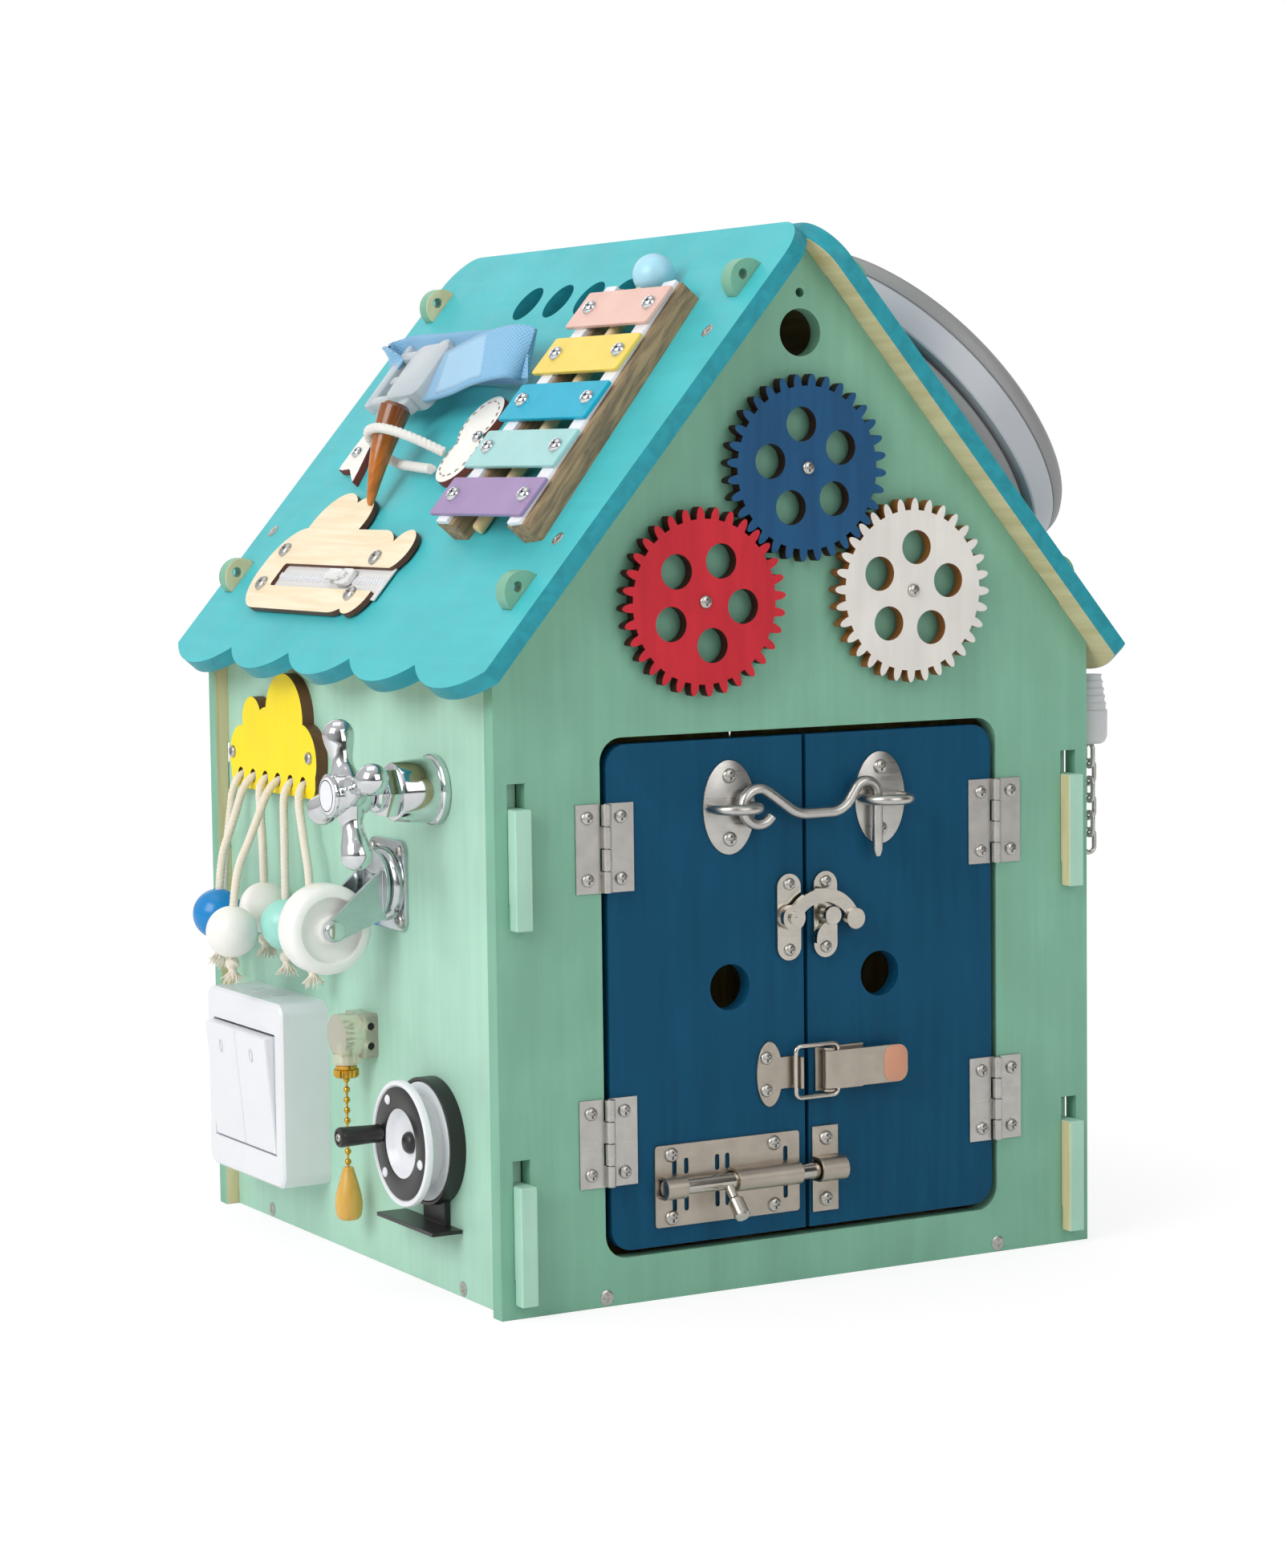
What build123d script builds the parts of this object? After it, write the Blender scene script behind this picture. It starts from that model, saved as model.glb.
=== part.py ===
import os
from math import atan2, cos, degrees, hypot, radians, sin, tan

from build123d import *

# House carcass
HOUSE_W = 304.0
HOUSE_D = 300.0
PLY = 8.0
SIDE_INSET = 6.5
EAVE_Z = 275.3
SLOPE = 49.64
SLOT_EASE = 0.2
HOOK_LOW_Z = 16.5
HOOK_HIGH_Z = 175.5
HOOK_SLOT_H = 51.0
HOOK_H = 40.5
HOOK_DROP = 10.5
HOOK_OUT = 6.5
GABLE_EYE_Z = 414.2
GABLE_EYE_D = 20.5
GABLE_PIN_Z = 431.3
GABLE_PIN_D = 4.0

# Roof
ROOF_FRONT = 15.0
ROOF_BACK = 11.0
ROOF_DROP = 242.0
ROOF_RIDGE = 3.0
RIDGE_GAP = 0.15
RIDGE_ROUND = 20.0
SCALLOPS = 5
SCALLOP_SAG = 10.5
TAB_D = (30.0, 201.0)
TAB_W = 18.5
TAB_EYE_D = 4.5
TAB_EYE_UP = 3.6
ROOF_SCREW_IN = 28.5
FLOOR_SCREW_U = 101.5
SCREW_R = 3.3
SCREW_H = 0.8
VENT_D = 20.0
VENT_ROW = 32.5
VENT_Y = (49.0, 19.0, -11.0, -41.0)

# Doors and their hinges
DOORWAY_W = 203.0
DOORWAY_LOW = 20.2
DOORWAY_HIGH = 243.5
DOORWAY_R = 10.5
DOOR_GAP = 3.0
DOOR_SEAM = 2.0
FINGER_D = 20.0
FINGER_AT = (38.6, 132.7)
HINGE_Z = (71.0, 197.0)
HINGE_H = 38.0
HINGE_LEAF = 14.0
HINGE_T = 1.0
KNUCKLE_R = 2.2
KNUCKLE_OUT = 2.4
HINGE_PIN_R = 1.0
KNUCKLE_GAP = 0.25
PIN_FIT = 0.05

# Gears
TEETH = 32
GEAR_ROOT = 35.2
GEAR_TIP = 40.4
TOOTH_W = 4.0
GEAR_PHASE = -3.9
GEAR_T = 5.5
GEAR_OFF = 2.1
GEAR_HOLE_D = 15.0
GEAR_HOLES = 5
GEAR_PCD = 38.0
GEAR_PIN_R = 2.0
GEAR_CENTRES = {"blue": (-1.5, 356.0), "red": (-53.5, 299.9), "white": (52.5, 301.8)}
HOLE_TURN = {"blue": 99.0, "red": 64.5, "white": 84.0}

# Gate hook with its two eyes
EYE_X = 38.7
HOOK_Z = 210.9
EYE_W = 26.0
EYE_H = 41.0
EYE_T = 1.2
EYE_WIRE = 2.3
EYE_R = 10.0
EYE_OUT = 6.4
HOOK_WIRE = 2.4
HOOK_LOOP_R = 7.75
HOOK_LOOP_DX = 11.5
HOOK_LEAVE = 55.0
HOOK_SAG = 4.4
HOOK_RISE_X = 43.0
HOOK_PIN_X = 61.0
HOOK_PEAK = 21.3
HOOK_TIP = -23.3
HOOK_BENDS = (16.0, 12.0, 6.0)

# Swing latch
SWING_Z = 161.3
SWING_X = 9.4
SWING_PLATE = (12.0, 38.0, 2.0)
SWING_BOSS_R = 5.2
SWING_ARM_LOW = 4.0
SWING_ARM_T = 2.4
SWING_PIN_R = 2.0
SWING_ARCH = (4.6, 9.0)
SWING_GRIP = (21.5, -2.2)
SWING_BAND = 6.0
POST_R = 4.0
POST_H = 8.5

# Draw latch
DRAW_Z = 93.0
DRAW_T = 1.4
CATCH_X = -19.6
CATCH_W = 13.0
CATCH_H = 28.7
CATCH_NECK = 14.0
LIP_X = -6.6
LIP_H = 6.4
BAIL_R = 1.1
BAIL_X = (-8.0, 13.7)
BAIL_H = 22.8
BAIL_ROUND = 2.6
DRAW_OUT = 4.0
LEVER_X = 8.8
LEVER_H = 16.6
LEVER_HUB = 2.35
LEVER_END = 49.0
LEVER_T = 1.6
EAR_T = 1.2
EAR_GAP = 0.25
DRAW_PIN_R = 1.2

# Barrel bolt
BOLT_Z = 49.2
BOLT_OUT = 5.6
BOLT_R = 3.6
BOLT_FIT = 0.1
BOLT_PLATE = (-77.7, -4.9, 31.4, 67.0)
BOLT_T = 1.3
BOLT_SHELL = 1.3
BOLT_WINDOW = (-66.0, -40.5)
BOLT_KNOB_X = -44.6
BOLT_KNOB_R = 3.5
BOLT_KNOB_L = 19.0
BOLT_TIP = 14.5
BOLT_SLOT_X = (-68.2, -62.3, -46.8, -41.7, -12.1)
KEEPER = (2.0, 15.4, 29.6, 67.7)
KEEPER_FIT = 0.5

# Cloud with hanging beads
CLOUD_T = 3.0
CLOUD_LOBES = ((-87.0, 242.5, 21.0), (-50.0, 240.0, 11.0), (-38.5, 222.0, 15.0), (-105.5, 224.0, 17.0),
               (-68.0, 229.0, 18.0))
CLOUD_BASE = (-121.0, -25.0, 207.0, 224.0)
CORD_HOLE_D = 6.5
CORD_Z = 213.5
CORD_FIRST_Y = -36.0
CORD_PITCH = 14.3
CORD_R = 1.8
KNOT_R = 3.4
CORD_TAIL = 1.5
BEAD_R = 12.0
BEAD_BORE = 2.15
BEAD_AT = ((12.2, -26.0, 143.0), (24.4, -47.9, 148.6), (12.2, -75.0, 153.5),
           (35.0, -88.5, 145.1), (12.2, -99.0, 148.0), (12.2, -128.0, 146.0))

# Tap
TAP_Y = 67.0
TAP_Z = 219.7
TAP_FLANGE_R = 15.4
TAP_BODY_R = (14.4, 12.4)
TAP_BODY_OUT = (4.0, 21.5)
TAP_NUT_OUT = 27.3
TAP_NUT_R = 11.6
TAP_STEM_R = 5.0
TAP_HUB_R = 9.4
TAP_HUB_OUT = (32.0, 51.4)
TAP_ARM_OUT = 42.0
TAP_ARM_TURN = 18.0
TAP_BALL_R = 6.7
TAP_BALL_AT = 26.5

# Caster
CASTER_Y = 113.7
CASTER_Z = 174.6
CASTER_PLATE = (36.0, 40.0, 2.0)
RACE_R = 16.5
RACE_OUT = 7.0
KING_R = 3.0
FORK_OUT = 7.4
FORK_T = 1.6
AXLE_OUT = 32.6
AXLE_DROP = 18.0
AXLE_R = 2.5
WHEEL_R = 20.0
WHEEL_W = 17.0
WHEEL_GAP = 0.5

# Wall switch
SWITCH_Y = -74.0
SWITCH_Z = 70.0
SWITCH_W = 86.0
SWITCH_OUT = 24.0
ROCKER_W = 35.0
ROCKER_H = 55.0
ROCKER_T = 6.0
ROCKER_RISE = 5.0
ROCKER_EASE = 0.9
WELL_FLOOR = 13.0

# Pull switch
PULL_ASIDE = -1.8
PULL_Z = 104.0
PULL_BLOCK = (20.0, 20.0, 7.0)
PULL_R = 10.0
PULL_OUT = 16.0
CHAIN_OUT = 11.5
NECK_R = 6.0
NECK_Z = (91.0, 96.0)
NUT_R = 5.75
NUT_Z = (85.0, 91.0)
CHAIN_BORE = 2.0
BALL_R = 1.5
BALL_PITCH = 4.7
BALLS = 10
CHAIN_LOW = 44.0
KNOB_LOW = 20.0
KNOB_R = 6.2

# Fly reel
REEL_Y = 71.6
REEL_Z = 65.85
REEL_R = 28.0
REEL_WALL = 1.5
REEL_RIM = 7.3
SPINDLE_R = 3.0
SPINDLE_OUT = 14.9
SPOOL_IN = 5.2
SPOOL_OUT = 18.4
SPOOL_R = 27.7
DRUM_R = 20.0
FLANGE_T = 3.2
DISH_R = 13.5
CRANK_R = 18.5
CRANK_TURN = 6.0
CRANK_KNOB_R = 4.5
CRANK_OUT = (18.8, 39.2)
FOOT = (47.6, 103.0, 28.4, 30.2, 0.5, 15.0)
FOOT_NECK_W = 21.0
FOOT_NECK_OUT = (0.5, 3.0)

# Xylophone and mallet
RAIL_W = 15.0
RAIL_H = 11.0
RAIL_D = (39.5, 174.5)
RAIL_BACK_Y = 91.0
RAIL_FRONT_Y = (39.6, 23.5)
STRIP_W = 10.0
STRIP_T = 2.0
KEYS = 5
KEY_ENDS = (15.0, 13.0)
KEY_GAP = 6.15
KEY_T = 2.0
KEY_BACK_Y = 103.5
MALLET_R = 9.5
STICK_R = 3.0
MALLET_HEAD = (67.0, 31.6)
MALLET_END = (74.0, 172.0)

# Belt, toggle and zip on the left slope
BELT_W = 25.0
BELT_T = 1.4
BELT_AT = (202.0, 82.0)
BELT_TURN = 8.0
BELT_RUN = (-72.0, 68.0)
BELT_RISE = 22.0
BUCKLE = (55.0, 33.0, 12.0)
BUCKLE_R = 3.0
BUCKLE_OUT = 15.0
BUCKLE_GRIP = 24.0
BELT_ENDS = (13.0, 17.0)
HORN_TOP = (192.0, 116.0, 25.0)
HORN_TIP = (192.0, 161.0, 6.2)
HORN_R = (7.6, 1.4)
ROPE_R = 2.0
PATCH_T = 4.0
FISHTAIL = ((264.0, 139.0), (251.0, 136.0), (235.0, 147.0), (245.0, 126.0), (253.0, 108.0),
            (263.0, 106.0))
STITCHED = ((147.5, 109.0, 15.0), (143.0, 130.0, 15.0))
ZIP_Y = (-171.0, -46.0)
ZIP_D = 201.0
TAPE_W = 20.0
TAPE_T = 1.0
ZIP_PLATE_Y = (-160.0, -32.0)
ZIP_PLATE_HALF = 24.0
ZIP_PLATE_UP = 4.0
ZIP_PLATE_R = 22.0
ZIP_LOBES = ((-72.0, -30.0, 19.5), (-95.0, -33.0, 14.0), (-164.0, -17.0, 11.5), (-156.0, 8.5, 11.5))
ZIP_PLATE_T = 3.0
ZIP_WINDOW = (-178.0, -56.0, 13.0)
COIL_W = 5.0
COIL_T = 2.0
SLIDER_Y = -132.0
SLIDER = (14.0, 9.0, 4.0)

# Touch lamp on the right slope
LAMP_Y = 76.0
LAMP_D = 121.0
LAMP_R = 88.0
LAMP_BASE_R = 85.0
LAMP_BASE_H = 9.0
LAMP_GAP = 2.5
LAMP_BAND = 25.0
LAMP_SHOULDER = 31.5
LAMP_TOP = 37.5
LAMP_POST_R = 30.0
LAMP_FIT = 0.1

# Chain pull on the right wall
PULLER_Y = 22.0
PULLER_OUT = 24.0
PULLER_Z = (227.0, 242.0, 259.0)
PULLER_R = (8.5, 6.0)
PEG_R = 4.0
LINKS = 6
LINK_L = 13.0
LINK_W = 8.0
LINK_R = 1.1

half_w = HOUSE_W / 2
half_d = HOUSE_D / 2
wall_x = half_w - SIDE_INSET
apex_z = EAVE_Z + half_w * tan(radians(SLOPE))
sin_s = sin(radians(SLOPE))
cos_s = cos(radians(SLOPE))
roof_lift = apex_z + cos_s * PLY

switch_edge = half_d + SWITCH_Y - SWITCH_W / 2
reel_edge = REEL_Y + REEL_R - half_d
pull_y = (switch_edge + reel_edge) / 2 + PULL_ASIDE

FRONT = Plane((0, -half_d, 0), x_dir=(1, 0, 0), z_dir=(0, -1, 0)).location
BACK = Plane((0, half_d, 0), x_dir=(-1, 0, 0), z_dir=(0, 1, 0)).location
LEFT = Plane((-wall_x, 0, 0), x_dir=(0, -1, 0), z_dir=(-1, 0, 0)).location
RIGHT = Plane((wall_x, 0, 0), x_dir=(0, 1, 0), z_dir=(1, 0, 0)).location
ROOF_L = Plane((-sin_s * PLY, 0, roof_lift), x_dir=(0, -1, 0), z_dir=(-sin_s, 0, cos_s)).location
ROOF_R = Plane((sin_s * PLY, 0, roof_lift), x_dir=(0, 1, 0), z_dir=(sin_s, 0, cos_s)).location

# Faces whose places count from the front or back wall
LEFT_FRONT = LEFT * Pos(half_d, 0, 0)
LEFT_BACK = LEFT * Pos(-half_d, 0, 0)
RIGHT_FRONT = RIGHT * Pos(-half_d, 0, 0)
SLOPE_L_FRONT = ROOF_L * Pos(half_d, 0, 0)
SLOPE_L_BACK = ROOF_L * Pos(-half_d, 0, 0)
SLOPE_R_FRONT = ROOF_R * Pos(-half_d, 0, 0)

ACROSS = Plane((0, 0, 0), x_dir=(0, 1, 0), z_dir=(1, 0, 0)).location

nodes = {}


def slab(sketch, low, high):
    return Pos(0, 0, low) * extrude(sketch, high - low)


def disc(radius, low, high, at=(0.0, 0.0)):
    return Pos(at[0], at[1], low) * extrude(Circle(radius), high - low)


def block(low, high):
    size = [b - a for a, b in zip(low, high)]
    middle = [(a + b) / 2 for a, b in zip(low, high)]
    return Pos(*middle) * Box(*size)


def oblong(width, height, at=(0.0, 0.0)):
    turned = Rot(0, 0, 90) if height > width else Rot(0, 0, 0)
    return Pos(at[0], at[1]) * turned * SlotOverall(max(width, height), min(width, height))


def lathe(points):
    return revolve(make_face(Plane.XZ * Polyline(*points, close=True)), Axis.Z)


def tube(path, radius):
    return sweep(Plane(path @ 0, z_dir=path % 0) * Circle(radius), path)


def screw_head(at):
    head = Cone(SCREW_R, SCREW_R * 0.72, SCREW_H, align=(Align.CENTER, Align.CENTER, Align.MIN))
    return Pos(at[0], at[1], 0) * head


def save(name, solids, frame=None):
    shape = solids if isinstance(solids, list) else [solids]
    if frame is not None:
        shape = [frame * one for one in shape]
    nodes[name] = Compound(children=[part for one in shape for part in one.solids()])


# House carcass
def roof_tab(distance, side):
    tongue = Pos(0, (PLY - 2) / 2) * Rectangle(TAB_W, PLY + 2) + Pos(0, PLY) * Circle(TAB_W / 2)
    tongue -= Pos(0, PLY + TAB_EYE_UP) * Circle(TAB_EYE_D / 2)
    foot = Pos(side * distance * cos_s, apex_z - distance * sin_s)
    return foot * Rot(0, 0, -side * SLOPE) * tongue


def gable_outline():
    eaves = [(-half_w, 0), (half_w, 0), (half_w, EAVE_Z), (0, apex_z), (-half_w, EAVE_Z)]
    outline = Polygon(*eaves, align=None)
    for side in (-1, 1):
        for distance in TAB_D:
            outline += roof_tab(distance, side)
        for low in (HOOK_LOW_Z, HOOK_HIGH_Z):
            middle = (side * (wall_x - PLY / 2), low + HOOK_SLOT_H / 2)
            outline -= Pos(*middle) * Rectangle(PLY + 2 * SLOT_EASE, HOOK_SLOT_H)
    return outline


def side_outline():
    inner = half_d - PLY
    top = apex_z - wall_x * tan(radians(SLOPE)) - SLOT_EASE
    outline = Pos(0, top / 2) * Rectangle(2 * inner, top)
    for side in (-1, 1):
        for low in (HOOK_LOW_Z, HOOK_HIGH_Z):
            reach = PLY + HOOK_OUT
            outline += Pos(side * (inner + reach / 2), low + HOOK_H / 2) * Rectangle(reach, HOOK_H)
            drop = HOOK_H + HOOK_DROP
            lip = Pos(side * (half_d + HOOK_OUT / 2), low + HOOK_H - drop / 2)
            outline += lip * Rectangle(HOOK_OUT, drop)
    return outline


def roof_panel(frame, front_side, vents):
    length = HOUSE_D + ROOF_FRONT + ROOF_BACK
    middle = front_side * (ROOF_FRONT - ROOF_BACK) / 2
    pitch = length / SCALLOPS
    radius = (pitch ** 2 / 4 + SCALLOP_SAG ** 2) / (2 * SCALLOP_SAG)
    height = ROOF_DROP + ROOF_RIDGE
    body = Pos(0, (ROOF_RIDGE - ROOF_DROP) / 2) * Rectangle(length, height)
    ridge = body.vertices().sort_by(Axis.Y)[-2:]
    body = fillet(ridge, RIDGE_ROUND)
    for index in range(SCALLOPS):
        centre = ((index + 0.5) * pitch - length / 2, radius - SCALLOP_SAG - ROOF_DROP)
        body += Pos(*centre) * Circle(radius)
    body = body & (Pos(0, -height / 2) * Rectangle(length, 3 * height))
    body = Pos(middle, 0) * body
    for end in (-1, 1):
        for distance in TAB_D:
            slot = Rectangle(PLY + 2 * SLOT_EASE, TAB_W + 2 * SLOT_EASE)
            body -= Pos(end * (half_d - PLY / 2), -distance) * slot
    for y in vents:
        body -= Pos(front_side * -y, -VENT_ROW) * Circle(VENT_D / 2)
    panel = frame * slab(body, -PLY, 0)
    side = 1 if frame is ROOF_R else -1
    beyond = block((-HOUSE_W, -HOUSE_D, 0), (side * RIDGE_GAP, HOUSE_D, 2 * apex_z))
    if side < 0:
        beyond = block((-RIDGE_GAP, -HOUSE_D, 0), (HOUSE_W, HOUSE_D, 2 * apex_z))
    return panel - beyond


def carcass():
    gable = gable_outline()
    doorway_h = DOORWAY_HIGH - DOORWAY_LOW
    doorway = Pos(0, DOORWAY_LOW + doorway_h / 2) * RectangleRounded(DOORWAY_W, doorway_h, DOORWAY_R)
    eye = Pos(0, GABLE_EYE_Z) * Circle(GABLE_EYE_D / 2)
    pin = Pos(0, GABLE_PIN_Z) * Circle(GABLE_PIN_D / 2)
    save("front_panel", slab(gable - doorway - eye - pin, -PLY, 0), FRONT)
    save("back_panel", slab(gable, -PLY, 0), BACK)
    save("left_side_panel", slab(side_outline(), -PLY, 0), LEFT)
    save("right_side_panel", slab(side_outline(), -PLY, 0), RIGHT)
    floor = Rectangle(2 * (wall_x - PLY), HOUSE_D - 2 * PLY)
    save("floor_panel", slab(floor, 0, PLY))
    save("left_roof_panel", roof_panel(ROOF_L, 1, VENT_Y))
    save("right_roof_panel", roof_panel(ROOF_R, -1, ()))
    heads = []
    for frame in (FRONT, BACK, LEFT, RIGHT):
        heads += [frame * screw_head((side * FLOOR_SCREW_U, PLY / 2)) for side in (-1, 1)]
    rows = (TAB_D[0] + ROOF_SCREW_IN, TAB_D[1] - ROOF_SCREW_IN)
    for frame in (ROOF_L, ROOF_R):
        for side in (-1, 1):
            heads += [frame * screw_head((side * (half_d - PLY / 2), -d)) for d in rows]
    return heads


# Doors on butt hinges
def hinge_leaf(outward, first):
    reach = HINGE_LEAF if outward else -HINGE_LEAF
    low = min(0.0, reach)
    leaf = block((low, -HINGE_H / 2, 0), (low + HINGE_LEAF, HINGE_H / 2, HINGE_T))
    barrel = HINGE_H / 4
    for index in range(4):
        gap = -HINGE_H / 2 + index * barrel
        if index % 2 == first:
            knuckle = Pos(0, gap + barrel / 2, KNUCKLE_OUT) * Rot(90, 0, 0)
            leaf += knuckle * Cylinder(KNUCKLE_R, barrel - 2 * KNUCKLE_GAP)
        else:
            wide = KNUCKLE_R + KNUCKLE_GAP
            leaf -= block((-wide, gap, 0), (wide, gap + barrel, HINGE_T))
    bore = Pos(0, 0, KNUCKLE_OUT) * Rot(90, 0, 0) * Cylinder(HINGE_PIN_R + PIN_FIT, 2 * HINGE_H)
    return leaf - bore


def door(side):
    outer = DOORWAY_W / 2 - DOOR_GAP
    inner = DOOR_SEAM / 2
    low = DOORWAY_LOW + DOOR_GAP
    high = DOORWAY_HIGH - DOOR_GAP
    panel = Pos(side * (outer + inner) / 2, (low + high) / 2) * Rectangle(outer - inner, high - low)
    corners = panel.vertices().sort_by(Axis.X)
    corners = corners[-2:] if side > 0 else corners[:2]
    panel = fillet(corners, DOORWAY_R - DOOR_GAP / 4)
    panel -= Pos(side * FINGER_AT[0], FINGER_AT[1]) * Circle(FINGER_D / 2)
    return slab(panel, -PLY, 0)


def doors():
    axis_x = DOORWAY_W / 2 - DOOR_GAP / 2
    fixed = []
    for side, name in ((-1, "left"), (1, "right")):
        save(name + "_door", door(side), FRONT)
        moving = []
        for z in HINGE_Z:
            spot = Pos(side * axis_x, z)
            moving.append(spot * hinge_leaf(side < 0, 1))
            fixed.append(spot * hinge_leaf(side > 0, 0))
            pin = Pos(0, 0, KNUCKLE_OUT) * Rot(90, 0, 0) * Cylinder(HINGE_PIN_R, HINGE_H)
            fixed.append(spot * pin)
        save(name + "_door_hinges", moving, FRONT)
    save("frame_hinges", fixed, FRONT)


# Three meshing gears on shouldered pins
def gear(turn, first_hole):
    tooth = Pos(GEAR_ROOT, 0) * Ellipse(GEAR_TIP - GEAR_ROOT, TOOTH_W / 2)
    teeth = [Rot(0, 0, turn + index * 360 / TEETH) * tooth for index in range(TEETH)]
    wheel = Circle(GEAR_ROOT) + teeth
    for index in range(GEAR_HOLES):
        angle = radians(first_hole + index * 360 / GEAR_HOLES)
        wheel -= Pos(GEAR_PCD / 2 * cos(angle), GEAR_PCD / 2 * sin(angle)) * Circle(GEAR_HOLE_D / 2)
    wheel -= Circle(GEAR_PIN_R + PIN_FIT)
    return slab(wheel, GEAR_OFF, GEAR_OFF + GEAR_T)


def gears():
    blue = GEAR_CENTRES["blue"]
    top = GEAR_OFF + GEAR_T + 0.2
    pins = []
    for name, centre in GEAR_CENTRES.items():
        turn = GEAR_PHASE
        if name != "blue":
            line = degrees(atan2(centre[1] - blue[1], centre[0] - blue[0]))
            turn = 2 * line + 180 + 180 / TEETH - GEAR_PHASE
        save(name + "_gear", Pos(*centre) * gear(turn, HOLE_TURN[name]), FRONT)
        pin = disc(5.0, 0, GEAR_OFF - 0.1) + disc(GEAR_PIN_R, 0, top) + disc(2.9, top, top + 1.6)
        pins.append(Pos(*centre) * pin)
    return [FRONT * pin for pin in pins]


# Gate hook and eyes
def eye_plate():
    plate = slab(Ellipse(EYE_W / 2, EYE_H / 2), 0, EYE_T)
    path = Line((-EYE_R, 0, 0.4), (-EYE_R, 0, EYE_OUT))
    path += ThreePointArc((-EYE_R, 0, EYE_OUT), (0, 0, EYE_OUT + EYE_R), (EYE_R, 0, EYE_OUT))
    path += Line((EYE_R, 0, EYE_OUT), (EYE_R, 0, 0.4))
    return plate + tube(path, EYE_WIRE)


def gate_hook():
    leave = radians(HOOK_LEAVE)
    start = (HOOK_LOOP_R * cos(leave), HOOK_LOOP_R * sin(leave))
    run = (start[1] + HOOK_SAG) / tan(radians(90 - HOOK_LEAVE))
    loop = CenterArc((0, 0), HOOK_LOOP_R, -35, HOOK_LEAVE - 325)
    bends = [start, (start[0] + run, -HOOK_SAG), (HOOK_RISE_X, -HOOK_SAG),
             (HOOK_PIN_X, HOOK_PEAK), (HOOK_PIN_X, HOOK_TIP)]
    rod = loop + FilletPolyline(*bends, radius=list(HOOK_BENDS))
    tip = Pos(HOOK_PIN_X, HOOK_TIP, 0) * Rot(90, 0, 0) * Cone(HOOK_WIRE, HOOK_WIRE / 2, 2.4,
                                                              align=(Align.CENTER, Align.CENTER, Align.MIN))
    return tube(rod, HOOK_WIRE) + tip


def gate_latch():
    for side, name in ((-1, "left_eye"), (1, "right_eye")):
        save(name, Pos(side * EYE_X, HOOK_Z) * eye_plate(), FRONT)
    save("gate_hook", Pos(HOOK_LOOP_DX - EYE_X, HOOK_Z, EYE_OUT) * gate_hook(), FRONT)


# Swing latch
def swing_latch():
    width, height, thick = SWING_PLATE
    plate = slab(oblong(width, height), 0, thick)
    pin_top = SWING_ARM_LOW + SWING_ARM_T + 0.2
    boss = disc(SWING_BOSS_R, thick, SWING_ARM_LOW - 0.1) + disc(SWING_PIN_R, 0, pin_top)
    pivot = plate + boss + disc(2.8, pin_top, pin_top + 1.2)
    save("swing_pivot_plate", Pos(-SWING_X, SWING_Z) * pivot, FRONT)
    spring = trace(ThreePointArc((-1.2, -3.5), (-5.2, -7.5), (-5.8, -12.0)), 1.6)
    post = disc(2.6, 0, POST_H - 2.5) + disc(POST_R, POST_H - 2.5, POST_H)
    catch = plate + post + slab(spring, thick - 0.5, POST_H - 3.2)
    save("swing_catch_plate", Pos(SWING_X, SWING_Z) * catch, FRONT)
    start = (-SWING_X, 0)
    arch = trace(ThreePointArc(start, SWING_ARCH, SWING_GRIP), SWING_BAND)
    flat = arch + Pos(*start) * Circle(SWING_BOSS_R + 0.4) + Pos(*SWING_GRIP) * Circle(4.6)
    arm = slab(flat, SWING_ARM_LOW, SWING_ARM_LOW + SWING_ARM_T)
    grip = disc(4.6, SWING_ARM_LOW, SWING_ARM_LOW + SWING_ARM_T + 1.4, SWING_GRIP)
    bore = disc(SWING_PIN_R + PIN_FIT, 0, POST_H, start)
    save("swing_arm", Pos(0, SWING_Z) * (arm + grip - bore), FRONT)


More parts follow.
